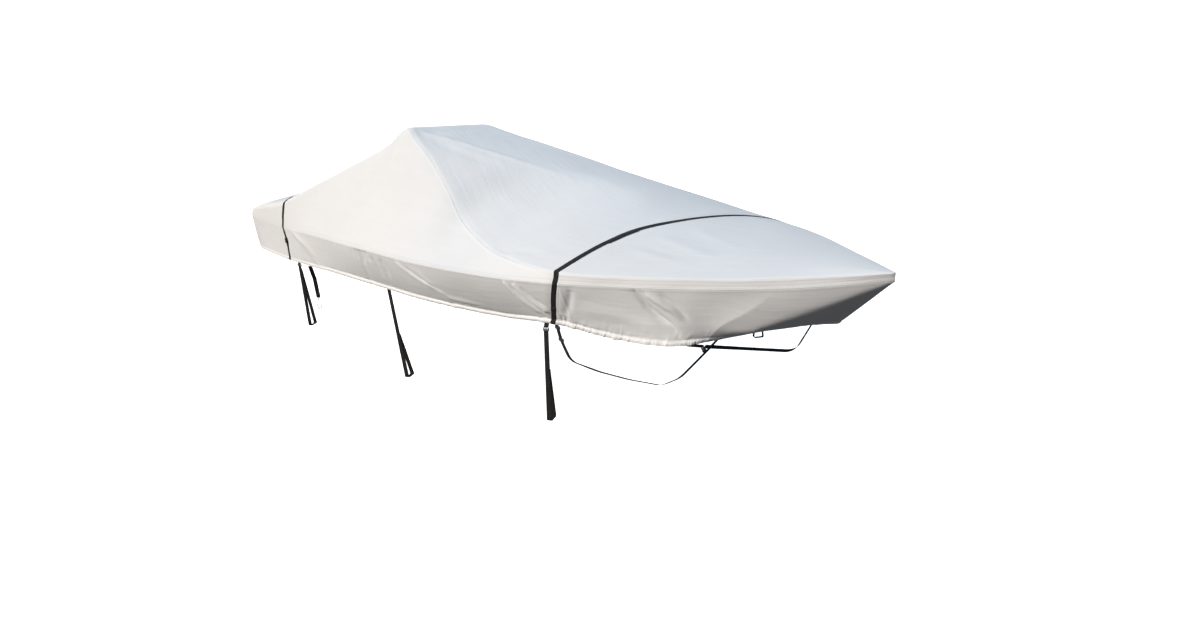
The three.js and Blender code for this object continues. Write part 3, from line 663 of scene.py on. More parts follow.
def knee_of(at, side, edge, hem):
    """The corner that the skirt bends around, and how closely. Round the bow it hangs straight down
    to a line from the top of the stem to the hem, and turns under sharply below that."""
    soft = mix(edge, hem, 0.5) + (edge - hem) * (0, 0.25, 0)
    turn = ease((at - 3650) / 300)
    out = unit(point((hull_at["beam"](at - 1) - hull_at["beam"](at + 1)) / 2, side, 0))
    drop = hem - edge
    hung = drop + out * (0.1 * drop[..., 2] - (drop * out).sum(-1))[..., None]
    down = np.minimum((np.maximum(STEM_AT - at, 0) / 390) ** 0.9, 0.86)
    return mix(soft, edge + hung * down[..., None], turn), (1 + 4 * turn)[..., None]


def cover_places(at, place):
    """at and place as like arrays, with which side each is on and how far it is from that hem."""
    at, place = np.broadcast_arrays(np.asarray(at, float), np.asarray(place, float))
    side = np.where(place > PORT_HEM / 2, 1.0, -1.0)
    return at, place, side, np.where(side > 0, PORT_HEM - place, place)


def skirt_of(at, side, edge, up):
    """The skirt from the hem, where up is 0, to the gunwale, with its folds and the bow's crest."""
    hem = point(hull_at["hem_at"](at), side * hull_at["hem_out"](at), hull_at["hem_up"](at))
    knee, weight = knee_of(at, side, edge, hem)
    share = up[..., None]
    start, middle, end = (1 - share) ** 2, 2 * weight * share * (1 - share), share ** 2
    skirt = (hem * start + knee * middle + edge * end) / (start + middle + end)
    for fold in FOLDS:
        across = (at - fold["hem"] - (fold["edge"] - fold["hem"]) * up) / fold["width"]
        rise = fold["rise"] * np.exp(-4 * across * across) * np.sqrt(1 - up)
        skirt[..., 1] += np.where(side == fold["side"], side * rise, 0)
    crest = CREST["hem"] + (CREST["edge"] - CREST["hem"]) * (0.25 * up + 0.75 * up ** 7)
    stands = CREST["rise"] * np.exp(-abs(at - crest) / CREST["width"]) * (1 - np.exp(-18 * (1 - up)))
    skirt[..., 1] += side * stands * ease((STEM_AT - at) / 60)
    return skirt


def plain_cloth(at, place):
    """The cover's outer face without seams and creases, in millimetres."""
    at, place, side, from_hem = cover_places(at, place)
    edge = point(at, side * hull_at["beam"](at), hull_at["edge"](at))
    skirt = skirt_of(at, side, edge, np.clip(from_hem / EDGE, 0, 1))
    star, port, middle = (
        point(at, out * raised_at[f"{line}_out"](at), raised_at[f"{line}_up"](at))
        for line, out in (("star", -1), ("port", 1), ("mid", 1))
    )
    to_middle = np.linalg.norm(star - middle, axis=-1)
    width = to_middle + np.linalg.norm(port - middle, axis=-1)
    share = to_middle / width
    sag = mix(star, port, share) - middle

    def crown(s):
        """Across the top, from the starboard hip to the port one."""
        crowned = s * (1 - s) / (share * (1 - share))
        away = np.where(s < share, 1 - s / share, (s - share) / (1 - share))
        soft = lambda x: np.hypot(x, 0.15) - 0.15
        pull = crowned + (1 - soft(away) / soft(1) - crowned) * raised_at["flat"](at)
        return mix(star, port, s) - sag * pull[..., None]

    def round_of(hip, out):
        """How far from a hip its soft round starts, and how far that is of the way to the gunwale."""
        gunwale = point(at, out * hull_at["beam"](at), hull_at["edge"](at))
        height = np.linalg.norm(gunwale - hip, axis=-1)
        part = 0.35 - 0.17 * ease((at - 2950) / 250)
        reach = np.minimum(ROUND_REACH, part * np.minimum(height, width))
        return reach / width, reach / height

    (star_in, star_down), (port_in, port_down) = round_of(star, -1), round_of(port, 1)
    hip = np.where(side[..., None] < 0, star, port)
    start = mix(hip, edge, np.where(side < 0, star_down, port_down))
    flat = mix(edge, start, np.clip((from_hem - EDGE) / (ROUND_FROM - EDGE), 0, 1))
    inner = crown(np.where(side < 0, star_in, 1 - port_in))
    over = arc(start, hip, inner, np.clip((from_hem - ROUND_FROM) / (ROUND_TO - ROUND_FROM), 0, 1))
    share_in = np.clip((place - ROUND_TO) / (PORT_ROUND_TO - ROUND_TO), 0, 1)
    deck = crown(star_in + (1 - port_in - star_in) * share_in)
    cloth = deck
    for end, part in ((ROUND_TO, over), (ROUND_FROM, flat), (EDGE, skirt)):
        cloth = np.where(from_hem[..., None] <= end, part, cloth)
    return cloth


def face_of(at, place):
    """Unit normals out of the cloth. At a seam it is the mean of both sides."""
    at, place, *_ = cover_places(at, place)
    along = plain_cloth(np.minimum(at + 4, STEM_AT), place) - plain_cloth(np.maximum(at - 4, 0), place)
    up, down = np.minimum(place + 0.04, PORT_HEM), np.maximum(place - 0.04, 0)
    face = np.cross(along, plain_cloth(at, up) - plain_cloth(at, down))
    return face / np.maximum(np.linalg.norm(face, axis=-1, keepdims=True), 1e-9)


def bumps(x, y, seed, size):
    """Soft random relief between about -1 and 1, with lumps of that size."""
    grid = np.random.RandomState(seed).uniform(-1, 1, (64, 64))
    x, y = np.asarray(x) / size, np.asarray(y) / size
    i, j = np.floor(x).astype(int), np.floor(y).astype(int)
    u, v = ease(x - i), ease(y - j)
    lump = lambda a, b: grid[a % 64, b % 64]
    near = lump(i, j) * (1 - u) + lump(i + 1, j) * u
    far = lump(i, j + 1) * (1 - u) + lump(i + 1, j + 1) * u
    return near * (1 - v) + far * v


# Creases and folds, each laid along a route of (at, place). rise is how far the cloth
# stands out, or in where it is negative; lean makes one flank steeper than the other; fade is
# the share of the route over which it dies away at its start and its end.
CREASES = rows("rise width lean fade route", [
    # The top panel, from the console ridge forward.
    (7, 19, 0.2, (0.1, 0.5), [(1743, 10.2), (1850, 11.2), (1957, 12.05), (2130, 12.85), (2369, 13.7),
     (2530, 13.97), (2717, 14.4)]),
    (-4, 30, 0, (0.2, 0.5), [(1800, 10.2), (2000, 11.3), (2180, 12.1), (2350, 12.8)]),
    (3, 60, 0, (0.3, 0.4), [(1948, 10.46), (2167, 11.08), (2377, 11.54), (2637, 11.92), (3031, 11.92)]),
    (-5, 18, 0.3, (0.3, 0.4), [(2700, 9.4), (2882, 10.17), (3051, 10.5)]),
    (-2.5, 13, 0, (0.4, 0.4), [(2880, 10.67), (3141, 10.75)]),
    (-3, 16, 0, (0.4, 0.5), [(3215, 11.67), (3611, 11.25)]),
    (3.5, 26, 0.2, (0.3, 0.5), [(3230, 11.5), (3406, 11.21), (3514, 11.04), (3664, 10.87)]),
    (3.5, 30, 0.2, (0.2, 0.5), [(3252, 12.37), (3496, 11.89), (3690, 11.6)]),
    (2.5, 34, 0.2, (0.2, 0.6), [(3290, 13.3), (3500, 12.9), (3760, 12.6)]),
    # The starboard side panel.
    (3, 22, 0, (0.3, 0.3), [(1633, 5.96), (1728, 5.21), (1813, 4.62)]),
    # The starboard skirt, from the stern forward.
    (-5, 18, 0, (0.3, 0.5), [(70, 0.92), (190, 0.88)]),
    (6, 20, 0.3, (0.15, 0.3), [(829, 3.8), (1034, 2.42), (1180, 0.6)]),
    (-3, 9, 0, (0.15, 0.6), [(1664, 3.9), (1662, 3.0)]),
    (-8, 7, 0, (0.1, 0.6), [(1700, 3.93), (1696, 2.6)]),
    (-11, 7, 0.2, (0.1, 0.5), [(1732, 3.93), (1739, 3.0), (1739, 2.15)]),
    (-9, 7, 0, (0.1, 0.6), [(1764, 3.93), (1772, 3.1), (1768, 2.5)]),
    (-8, 8, 0, (0.1, 0.6), [(1803, 3.93), (1820, 3.2), (1836, 2.6)]),
    (-6, 16, 0, (0.2, 0.5), [(1870, 3.8), (1884, 2.2), (1880, 1.2)]),
    (-6, 18, 0, (0.2, 0.5), [(1960, 3.7), (1972, 2.4), (1965, 1.3)]),
    (7, 12, 0.3, (0.2, 0.4), [(2120, 3.75), (2161, 3.34), (2240, 2.66), (2365, 1.91), (2476, 1.16)]),
    (-5, 9, 0, (0.2, 0.4), [(2185, 3.6), (2300, 2.6), (2394, 1.98), (2490, 1.3)]),
    (6, 15, 0.3, (0.15, 0.4), [(2290, 3.5), (2457, 0.95), (2767, 0.75)]),
    (8, 11, 0.3, (0.5, 0.3), [(2926, 3.75), (2934, 3.61), (3009, 2.28), (3091, 1.16), (3150, 0.6)]),
    (-6, 7, 0, (0.2, 0.35), [(2955, 3.6), (3034, 2.32), (3116, 1.23)]),
    (9, 11, 0.3, (0.5, 0.25), [(2978, 3.65), (2984, 3.51), (3056, 2.35), (3145, 1.29), (3181, 0.95)]),
    (-5, 8, 0, (0.2, 0.35), [(3015, 3.5), (3085, 2.35), (3165, 1.5)]),
    (-4, 16, 0, (0.2, 0.3), [(3262, 3.7), (3268, 3.0), (3264, 2.12), (3245, 0.6)]),
    (-4, 7, 0, (0.4, 0.2), [(3228, 1.0), (3236, 0.3)]),
    (-4, 6, 0, (0.4, 0.2), [(3248, 0.9), (3254, 0.3)]),
    (-14, 10, 0, (0.55, 0.35), [(3488, 3.9), (3514, 3.75), (3567, 2.76), (3614, 2.11), (3664, 1.57),
     (3728, 0.41)]),
    (10, 12, 0.3, (0.5, 0.45), [(3540, 3.8), (3567, 3.51), (3621, 2.93), (3675, 2.32), (3720, 1.8)]),
    (-5, 10, 0, (0.2, 0.4), [(3590, 3.8), (3650, 3.1), (3705, 2.35), (3745, 1.7)]),
    (4, 30, 0, (0.3, 0.2), [(3301, 2.33), (3361, 1.92), (3486, 1.83), (3566, 1.33), (3646, 1.04)]),
    # The port skirt, side and aft slope, which the same pull shapes.
    (6, 20, 0.2, (0.1, 0.3), [(1010, 23.1), (1150, 25.0), (1250, 26.4)]),
    (-6, 14, 0, (0.0, 0.5), [(1925, 23.0), (1870, 24.8)]),
    (6, 16, 0.3, (0.1, 0.3), [(2470, 23.2), (2620, 25.3), (2690, 26.4)]),
    (9, 15, 0.4, (0.05, 0.2), [(2985, 23.1), (3130, 26.3)]),
    (-5, 15, 0, (0.1, 0.1), [(3260, 23.2), (3272, 24.6), (3245, 26.5)]),
    (-7, 15, 0, (0.1, 0.1), [(3460, 23.0), (3620, 24.8), (3710, 26.3)]),
    (5, 18, 0, (0.1, 0.2), [(3545, 23.1), (3680, 24.9), (3750, 26.0)]),
    (6, 40, 0, (0.2, 0.5), [(1650, 18.2), (1300, 17.0), (1050, 16.2)]),
    (5, 36, 0, (0.2, 0.4), [(1860, 18.6), (2150, 20.2), (2450, 21.8)]),
    (-5, 34, 0, (0.3, 0.3), [(1500, 20.2), (1250, 21.6), (1050, 22.6)]),
])


def hill(x, middle, width, rise=1.0):
    return rise * np.exp(-(((x - middle) / width) ** 2))


def crease_relief(at, spot, face):
    """How far all the creases lift the cloth at each point."""
    total = np.zeros(at.shape)
    for crease in CREASES:
        route = np.array(crease["route"], float)
        steps = np.linspace(0, len(route) - 1, 8 * (len(route) - 1) + 1)
        line = plain_cloth(*(np.interp(steps, np.arange(len(route)), route[:, k]) for k in (0, 1)))
        reach = 3 * crease["width"]
        near = (at > route[:, 0].min() - 2 * reach) & (at < route[:, 0].max() + 2 * reach)
        near &= (spot > line.min(0) - reach).all(-1) & (spot < line.max(0) + reach).all(-1)
        if not near.any():
            continue
        here, out = spot[near], face[near]
        best = np.full(len(here), 1e9)
        when, tilt = np.zeros(len(here)), np.zeros(len(here))
        for k in range(len(line) - 1):
            run = line[k + 1] - line[k]
            t = np.clip(((here - line[k]) @ run) / (run @ run), 0, 1)
            away = here - line[k] - t[:, None] * run
            far = np.linalg.norm(away, axis=1)
            closer = far < best
            best = np.where(closer, far, best)
            when = np.where(closer, (k + t) / (len(line) - 1), when)
            tilt = np.where(closer, np.sign((np.cross(run, away) * out).sum(1)), tilt)
        wide = crease["width"] * (1 + crease["lean"] * tilt)
        start, stop = crease["fade"]
        held = (ease(when / start) if start else 1) * ease((1 - when) / stop)
        total[near] += held * hill(best, 0, wide, crease["rise"])
    return total


def relief(at, place):
    """How far the cloth stands out from its plain shape: seams, hem, creases and slack."""
    at, place, side, from_hem = cover_places(at, place)
    spot, face = plain_cloth(at, place), face_of(at, place)
    up_skirt, to_hip, to_edge = (
        np.linalg.norm(spot - plain_cloth(at, np.where(side > 0, PORT_HEM - line, line)), axis=-1)
        for line in (0.0, HIP, EDGE)
    )
    # Felled seams: at the hips and the gunwales the upper cloth lies folded over the lower one.
    total = FOLDED_CLOTH * np.where(from_hem <= HIP, ease((14 - to_hip) / 4), ease((10 - to_hip) / 10))
    folded = 0.1 + 1.1 * ease((at - 700) / 900)
    total += folded * np.where(from_hem >= EDGE, ease((12 - to_edge) / 2.5), ease((5 - to_edge) / 5))
    # The hem: a rolled tube 24 mm deep round a drawn cord, which pulls the cloth in above it. It
    # turns under where the skirt passes below the bow.
    turned_under = ease((3860 - at) / 120)
    rolled = (0.15 + 0.85 * ease((at - 700) / 1100)) * (0.25 + 0.75 * turned_under)
    tube = 10 * np.sqrt(np.clip(1 - ((up_skirt - 5) / 14) ** 2, 0, 1)) - hill(up_skirt, 23, 5, 2.5)
    # Gathers where the cord in the hem draws the skirt in, strongest round the bow.
    drawn = ease((at - 3150) / 150) * turned_under
    gather = 1.2 * bumps(at, up_skirt + 400, 11, 24) + bumps(at, up_skirt * 0.3 + 700, 12, 11)
    pinch = hill((at + 5 * bumps(at, 0, 13, 30)) % PINCH_APART, PINCH_APART / 2, 1.9, 1.7)
    deep = (1.1 + bumps(at, 90, 14, 17)) * hill(up_skirt, 8, 12)
    gathered = (0.2 + 0.8 * drawn) * 3.2 * gather * np.exp(-up_skirt / 30) - ease(drawn) * pinch * deep
    # The join between the two lengths of skirt.
    past = SKIRT_JOIN - spot[..., 0]
    join = 1.2 * ease(past / 2 + 0.5) * ease((13 - past) / 2.5)
    total += np.where(from_hem <= EDGE, rolled * tube + gathered + join, 0)
    # The cloth gives a little under the straps that cross it.
    for strap in (FORWARD_STRAP, REAR_STRAP):
        total += hill(np.abs(at - strap), 40, 22, 0.8) - hill(at, strap, 20, 1.6)
    # Slack between the supports.
    total += 1.6 * bumps(at, place * 90, 21, 260) + 0.8 * bumps(at, place * 90, 22, 110)
    return total + crease_relief(at, spot, face), spot, face


def cloth_points(at, place, lift=0.0):
    """Points on the cloth. Its last few millimetres are drawn together round the stem."""
    rise, spot, face = relief(at, place)
    points = spot + face * (rise + lift)[..., None]
    points[..., 1] *= np.sqrt(1 + TIP_WIDTH ** 2 - np.clip((at - STEM_AT) / NOSE + 1, 0, 1) ** 2)
    return points


# Stations along the cover, closer together towards the bow, with one on the skirt's join.
AT_STEM = STEM_AT - NOSE * np.array([1, 0.8, 0.6, 0.4, 0.25, 0.14, 0.06, 0.02, 0])


def stations(start, *stretches):
    """Stations from start, with each stretch given by its end and how many stations it has."""
    found = []
    for end, count in stretches:
        found.append(np.linspace(start, end, count)[:-1])
        start = end
    return np.concatenate(found + [AT_STEM if start == AT_STEM[0] else [start]])


STATIONS = stations(0, (2100, 160), (SKIRT_JOIN, 140), (3900, 160), (AT_STEM[0], 52))


def places_between(at, low, high, near_low, count, near_high):
    """Places from one seam to the next: some at set distances from each, and count between."""
    fine = np.linspace(low, high, 160)
    spots = plain_cloth(at[:, None], fine[None, :])
    found = []
    for line in spots:
        far = run_along(line)
        squeeze = min(1.0, 0.45 * far[-1] / max(near_low[-1], near_high[-1]))
        a, b = np.array(near_low) * squeeze, far[-1] - np.array(near_high[::-1]) * squeeze
        stops = np.concatenate([a, np.linspace(a[-1], b[0], count + 2)[1:-1], b])
        found.append((np.interp(stops, far, fine), stops, np.full(1, far[-1])))
    return (np.array(part) for part in zip(*found))


def grid_faces(length, width):
    i, j = np.meshgrid(np.arange(length - 1), np.arange(width - 1), indexing="ij")
    a = (i * width + j).ravel()
    return np.stack([a, a + width, a + width + 1, a + 1], 1)


def cloth_panel(name, solid, at, low, high, near_low, count, near_high):
    place, dist, whole = places_between(at, low, high, near_low, count, near_high)
    station = np.repeat(at[:, None], place.shape[1], 1)
    points = cloth_points(station, place)
    *_, from_hem = cover_places(station, place)
    seen = np.where(from_hem > ROUND_FROM, 250, 300 + 700 * ease((station - 700) / 500))
    # Painted highlight: the hem, the cloth beside the hip seams and the narrow band at the bow get a
    # lighter grey for the light they catch.
    starboard, to_seam = place < PORT_HEM / 2, np.minimum(dist, whole - dist)
    up_skirt = np.where(starboard, dist, whole - dist)
    at_hip = np.where(from_hem < HIP, whole - up_skirt, to_seam)
    bow_band_highlight = 0.35 * ease((17 - to_seam) / 4) * ease((station - 2800) / 300)
    # Painted highlight beside the hip seams, and over the band above the gunwale at the bow.
    folded = np.maximum(0.55 * ease((22 - at_hip) / 12), bow_band_highlight)
    painted_highlight = np.where(from_hem <= EDGE, ease((HEM_DEEP - up_skirt) / 3), folded)
    return finish_panel(name, solid, points, {
        "cloth": (station, dist), "far_edge": (station, whole - dist),
        "join": (dist, np.abs(points[..., 0] - SKIRT_JOIN) + 0.5), "thread": (seen, 1000 * painted_highlight),
    })


def finish_panel(name, solid, points, maps):
    length, width = points.shape[:2]
    piece = new_piece(
        name, points.reshape(-1, 3), grid_faces(length, width).tolist(),
        {layer: np.stack(pair, -1).reshape(-1, 2) for layer, pair in maps.items()}, grey_cloth,
    )
    bpy.context.view_layer.objects.active = piece
    thick = piece.modifiers.new("thickness", "SOLIDIFY")
    thick.thickness, thick.offset = CLOTH_THICK, -1
    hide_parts(solid)
    return piece


def cloth_material():
    material, shader = new_material("grey_polyester", (0.62, 0.63, 0.645), 0.66, sheen=0.12, specular=0.35)
    uv, in_place = map_of(material, "cloth"), object_place(material)
    run, near = split_map(material, "cloth")
    # Plain weave: threads 0.9 mm apart both ways.
    turns = (number(material, "MULTIPLY", way, 2 * math.pi / 0.0018) for way in (run, near))
    weave = number(material, "MULTIPLY", *(number(material, "SINE", turn) for turn in turns))
    # Small slack in the cloth, too fine for the mesh, and long, faint streaks of pulled threads.
    slack = relief_of(material, clouds(material, in_place, 16.0, 3.0), 0.22, 0.004)
    drawn = stretched(material, uv, (1.6, 17.0, 1.0), Rotation=(0, 0, -0.05))
    drawn = relief_of(material, clouds(material, drawn, 2.3, 4.0, 0.6), 0.3, 0.006, Normal=slack)
    fine = relief_of(material, weave, 0.25, 0.0002, Normal=drawn)
    # Rows of lockstitch, in pairs: 3 and 10 mm from each seam, and along the top of the hem.
    far = split_map(material, "far_edge")[1]
    along_join, from_join = split_map(material, "join")
    thread = None
    for across, along, aways in (
        (near, run, (0.003, 0.010, 0.0195)), (far, run, (0.003, 0.010)),
        (from_join, along_join, (0.0035, 0.0105)),
    ):
        for away in aways:
            line = number(material, "COMPARE", across, away, 0.0006)
            dash = number(material, "GREATER_THAN", number(material, "PINGPONG", along, 0.0045), 0.0011)
            row = number(material, "MULTIPLY", line, dash)
            thread = row if thread is None else number(material, "MAXIMUM", thread, row)
    # The thread map carries how plainly the stitches show and where the painted highlight lies.
    seen, painted_highlight = split_map(material, "thread")
    thread = number(material, "MULTIPLY", thread, seen)
    # The coating has faint clouds and long streaks, and the thread is a darker grey.
    streaks = clouds(material, stretched(material, uv, (1.2, 14.0, 1.0)), 1.6, 3.0)
    shade = number(material, "MULTIPLY_ADD", streaks, 0.4, clouds(material, in_place, 2.2, 5.0, 0.6))
    grey = shades(material, shade, (0.600, 0.608, 0.622), (0.650, 0.658, 0.672), 0.4, 1.0)
    # Painted highlight: a lighter grey on the hem, beside the hip seams and on the bow band.
    highlit_grey = covered(material, painted_highlight, grey, (0.70, 0.706, 0.716))
    return finish(
        material, shader, Normal=relief_of(material, thread, 0.6, 0.0005, Normal=fine),
        Base_Color=covered(material, thread, highlit_grey, (0.45, 0.45, 0.46)),
    )


grey_cloth = cloth_material()

# The top panel, from hip to hip, is the cover's largest piece. Its seam allowances are folded
# down over the side panels and stitched twice.
AT_TOP, AT_HIP, AT_EDGE = [0, 3, 6, 9, 13, 18, 25], [0, 3, 6, 10.5, 13, 17, 22], [0, 3, 5.5, 9.5, 12, 16, 22]
top_panel = cloth_panel("top_cloth", "top_panel", STATIONS, HIP, PORT_HIP, AT_TOP, 58, AT_TOP)
side_star = cloth_panel(
    "side_cloth_starboard", "side_panel_starboard", STATIONS, EDGE, HIP, AT_EDGE, 16, AT_HIP)
side_port = cloth_panel(
    "side_cloth_port", "side_panel_port", STATIONS, PORT_HIP, PORT_EDGE, AT_HIP, 22, AT_EDGE)

# The skirts' folds and gathers are fine, so their stations are closer together than the top's.
LENGTHS = {
    "aft": stations(0, (2100, 240), (2880, 150), (SKIRT_JOIN, 110)),
    "forward": stations(SKIRT_JOIN, (3860, 330), (AT_STEM[0], 70)),
}
HEM_STOPS, GUNWALE_STOPS = [0, 1.5, 4, 7, 10, 13, 15.5, 17.5, 19, 21, 24, 28, 34], [0, 6]
for word, low, high, starts, ends in (
    ("starboard", 0.0, EDGE, HEM_STOPS, GUNWALE_STOPS),
    ("port", PORT_EDGE, PORT_HEM, GUNWALE_STOPS, HEM_STOPS),
):
    for part, at in LENGTHS.items():
        named = f"{word}_{part}"
        cloth_panel(f"skirt_cloth_{named}", f"skirt_{named}", at, low, high, starts, 38, ends)


# The transom panel closes the stern: a flat piece of the same cloth, sewn to the ends of the
# side pieces and of the top panel, with its own straight hem along its foot.
def transom_points():
    ups = np.linspace(0, HIP, 61)
    star, port = cloth_points(0.0, ups), cloth_points(0.0, PORT_HEM - ups)
    head = cloth_points(0.0, np.linspace(HIP, PORT_HIP, 111))
    up = (star[:, 2:] - star[0, 2]) / (star[-1, 2] - star[0, 2])
    over = ((head[:, 1] - star[-1, 1]) / (port[-1, 1] - star[-1, 1]))[None, :]
    foot = mix(star[0], port[0], over)
    corners = mix(foot, mix(star[-1], port[-1], over), up)
    points = mix(star[:, None], port[:, None], over) + mix(foot, head, up) - corners
    inside = np.clip(np.minimum(over, 1 - over) * 12, 0, 1) * np.clip((1 - up) * 8, 0, 1)
    height = points[..., 2] - points[:1, :, 2]
    swell = 6 * np.sqrt(np.clip(1 - ((height - 7) / 15) ** 2, 0, 1))
    swell += 2.5 * bumps(points[..., 1], points[..., 2], 31, 150)
    swell += 1.5 * bumps(points[..., 1], 0, 32, 19) * np.exp(-height / 30)
    points[..., 0] -= swell * ease(inside)
    return points[:, ::-1], height[:, ::-1]


points, height = transom_points()
level_at, alike = points[..., 1], np.ones(height.shape)
# The hem along the transom's foot gets the same painted highlight, a lighter grey.
transom = finish_panel("transom_cloth", "transom_panel", points, {
    "cloth": (level_at, height), "far_edge": (height, HULL[0]["beam"] - np.abs(level_at) + 0.5),
    "join": (height, 900 * alike), "thread": (600 * alike, 1000 * ease((HEM_DEEP - height) / 3)),
})


# Two straps of the same webbing lie over the cover, from hem to hem, and hold it down. They run
# through no loops, so each strays a little from a straight line and settles into the cloth.
def settled(route, place):
    """Where the strap's middle lies at a place, with the corners of its route softened."""
    fine = np.linspace(0, PORT_HEM, 1401)
    at = np.interp(fine, *np.array(route, float).T)
    return np.interp(place, fine, np.convolve(np.pad(at, 20, mode="edge"), np.ones(41) / 41, mode="valid"))


def strap_over(name, solid, route, low, high, lift):
    """Webbing laid on the cloth. route is a list of (place, at) that the strap's middle follows."""
    fine = np.linspace(low, high, 1400)
    at = settled(route, fine)
    far = run_along(cloth_points(at, fine))
    where = np.linspace(0, far[-1], max(4, int(far[-1] / 6)))
    at, place = (np.interp(where, far, track)[:, None] for track in (at, fine))
    reach = np.linalg.norm(plain_cloth(at + 5, place) - plain_cloth(at - 5, place), axis=-1) / 10
    rise, spot, face = relief(at + WEB_ACROSS / reach, place)
    rise = np.maximum(rise, rise.mean(1, keepdims=True)) + WEB_UP + WEB_THICK / 2 + lift
    piece = web_piece(name, (spot + face * rise[..., None]).reshape(-1, 3), where, "both")
    if solid:
        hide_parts(solid)
    return piece


ON_CLOTH, ON_STRAP = 0.4, 2.2
FORWARD_ROUTE = [
    (0, 3190), (4, 3192), (8, 3188), (10.2, 3181), (11, 3170), (12.2, 3160), (13.5, 3196), (14.5, 3212),
    (16, 3208), (18, 3195), (27, 3190),
]
REAR_ROUTE = [
    (0, 700), (1.2, 712), (2.4, 732), (3.2, 722), (4.2, 708), (5.2, 697), (8.7, 702), (12, 696), (18, 703),
    (23, 699), (27, 700),
]
forward_strap = strap_over("forward_web", "strap_forward", FORWARD_ROUTE, 0.02, 26.98, ON_CLOTH)
rear_strap = strap_over("rear_web", "strap_aft", REAR_ROUTE, 0.02, 26.98, ON_CLOTH)
keeper = strap_over("keeper_web", "keeper_forward", FORWARD_ROUTE, 1.3, 1.75, ON_STRAP)
lapped = strap_over("rear_lap_web", "strap_aft_doubling", REAR_ROUTE, 1.75, 3.45, ON_STRAP)
# The forward strap is in two lengths, lapped and sewn on the starboard half of the top.
lap_route = [(place, at + 5) for place, at in FORWARD_ROUTE]
forward_lap = strap_over("forward_lap_web", None, lap_route, 11.4, 12.24, ON_STRAP + 0.8)


def saddle(name, under, bars, half=0.0158, leg=0.0026, thick=0.0026):
    """A moulded frame that stands over a strap on two legs, at the origin. bars gives where each
    bar across it starts and ends along the strap."""
    across, along = [-half, -half + leg, half - leg, half], sorted({value for bar in bars for value in bar})
    pick()
    bpy.ops.mesh.primitive_grid_add(x_subdivisions=3, y_subdivisions=len(along) - 1, size=1)
    piece = bpy.context.object
    piece.name = piece.data.name = name
    for vertex in piece.data.vertices:
        i, j = round((vertex.co.x + 0.5) * 3), round((vertex.co.y + 0.5) * (len(along) - 1))
        vertex.co = (across[i], along[j], under)

    def in_slot(centre, normal):
        return abs(centre.x) < half - leg and not any(a < centre.y < b for a, b in bars)

    def under_leg(centre, normal):
        return abs(centre.x) > half - leg and centre.z < under + 1e-5 and abs(normal.z) > 0.9

    in_edit_mode(piece, in_slot, lambda: bpy.ops.mesh.delete(type="FACE"))
    for choose, far in ((lambda centre, normal: True, thick), (under_leg, -under)):
        grown = {"value": (0, 0, far)}
        in_edit_mode(piece, choose, lambda: bpy.ops.mesh.extrude_region_move(TRANSFORM_OT_translate=grown))
        outward = lambda: bpy.ops.mesh.normals_make_consistent(inside=False)
        in_edit_mode(piece, lambda centre, normal: True, outward)
    return rounded(piece, 0.0006, black_nylon, segments=2)


def fit_saddle(pattern, name, solid, route, place):
    """Stands a saddle on the cloth astride a strap."""
    places = np.array([place - 0.06, place, place + 0.06])
    at = settled(route, places)
    line, out = cloth_points(at, places, 0.3), face_of(at, places)[1]
    along = line[2] - line[0]
    along = unit(along - along.dot(out) * out)
    made = set_in_place(pattern, name, placed(line[1], np.cross(along, out), along), solid)
    bpy.data.objects.remove(pattern)
    return made


# The rear strap tightens with a nylon three-bar slider on the starboard skirt, where its end turns
# back and is sewn, and a short two-bar keeper holds it at the starboard hip.
pattern = saddle("slider_pattern", 0.0052, [(-0.016, -0.0105), (-0.0035, 0.0035), (0.0105, 0.016)])
strap_slider = fit_saddle(pattern, "rear_slider", "slider_aft", REAR_ROUTE, 2.45)
pattern = saddle("keeper_pattern", 0.0034, [(-0.009, -0.004), (0.004, 0.009)])
hip_keeper = fit_saddle(pattern, "rear_hip_keeper", "ring_aft", REAR_ROUTE, 10.06)


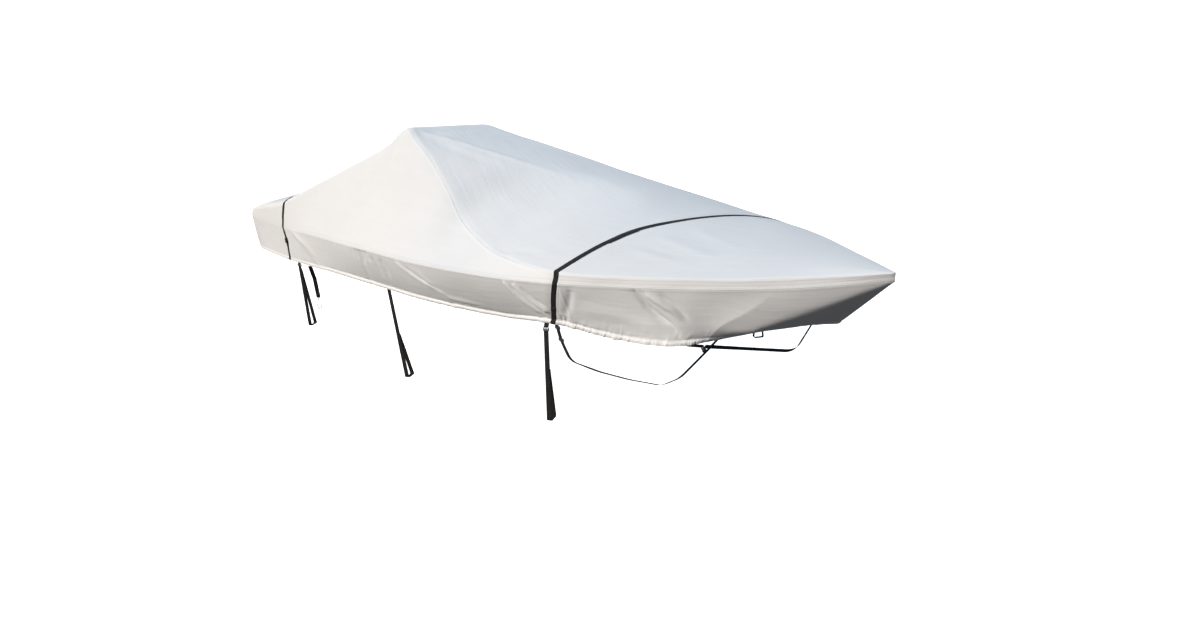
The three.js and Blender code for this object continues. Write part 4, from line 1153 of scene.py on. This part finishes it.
# The studio: a pale floor that curves up into a wall far behind the cover, one large cool light
# overhead and a wide warm light off the starboard side.
def studio_floor():
    sweep = [(0, 0), (5, 0), (13, 0), (14.2, 0.15), (15.2, 0.6), (15.8, 1.4), (16, 2.5), (16, 10)]
    turns, middle, ground = 96, 0.5, -1.770
    points = [
        (middle + radius * math.cos(angle), radius * math.sin(angle), ground + height)
        for radius, height in sweep for angle in np.linspace(0, 2 * math.pi, turns, endpoint=False)
    ]
    faces = []
    for i in range(len(sweep) - 1):
        for k in range(turns):
            a, b = i * turns + k, i * turns + (k + 1) % turns
            faces.append((a, a + turns, b + turns, b))
    mesh = bpy.data.meshes.new("studio_floor")
    mesh.from_pydata(points, [], faces)
    mesh.polygons.foreach_set("use_smooth", [True] * len(mesh.polygons))
    floor = bpy.data.objects.new("studio_floor", mesh)
    bpy.context.collection.objects.link(floor)
    material, shader = new_material("pale_floor", (0.86, 0.86, 0.86), 0.9, specular=0.1)
    shader.inputs["Emission Color"].default_value = (1, 1, 1, 1)
    shader.inputs["Emission Strength"].default_value = 1.0
    mesh.materials.append(material)
    floor.visible_diffuse = floor.visible_glossy = floor.visible_shadow = False


def hang(light, at, turned):
    lamp = bpy.data.objects.new(light.name, light)
    bpy.context.collection.objects.link(lamp)
    lamp.matrix_world = Matrix.Translation(at) @ turned.to_matrix().to_4x4()


studio_floor()

OVER, AIM = Vector((1.0, 2.5, 6.0)), Vector((0.6, 0.3, -0.4))
light = bpy.data.lights.new("overhead", "AREA")
light.shape, light.size, light.size_y = "RECTANGLE", 8.0, 5.0
light.energy, light.color = 320, (0.56, 0.77, 1.0)
hang(light, OVER, (AIM - OVER).to_track_quat("-Z", "Y"))

# The warm light is so wide and so far off that it falls evenly along the whole cover.
light = bpy.data.lights.new("window", "SUN")
light.angle, light.energy, light.color = math.radians(30), 4.3, (1.0, 0.93, 0.85)
hang(light, (0, 0, 0), toward(math.radians(-104), math.radians(30)).to_track_quat("Z", "Y"))

# The room's own light comes mostly from above the horizon, and little of it from below.
world = bpy.data.worlds.new("studio_air")
world.use_nodes = True
sky = world.node_tree.nodes["Background"]
sky.inputs[0].default_value = (0.93, 0.96, 1.0, 1)
direction = node(world, "ShaderNodeTexCoord", {}).outputs["Generated"]
height = node(world, "ShaderNodeSeparateXYZ", {0: direction}).outputs[2]
strength = node(world, "ShaderNodeMapRange", {0: height, 1: -0.25, 2: 0.35, 3: 0.095, 4: 0.12})
world.node_tree.links.new(strength.outputs[0], sky.inputs[1])
bpy.context.scene.world = world
bpy.context.scene.view_settings.view_transform = "Standard"
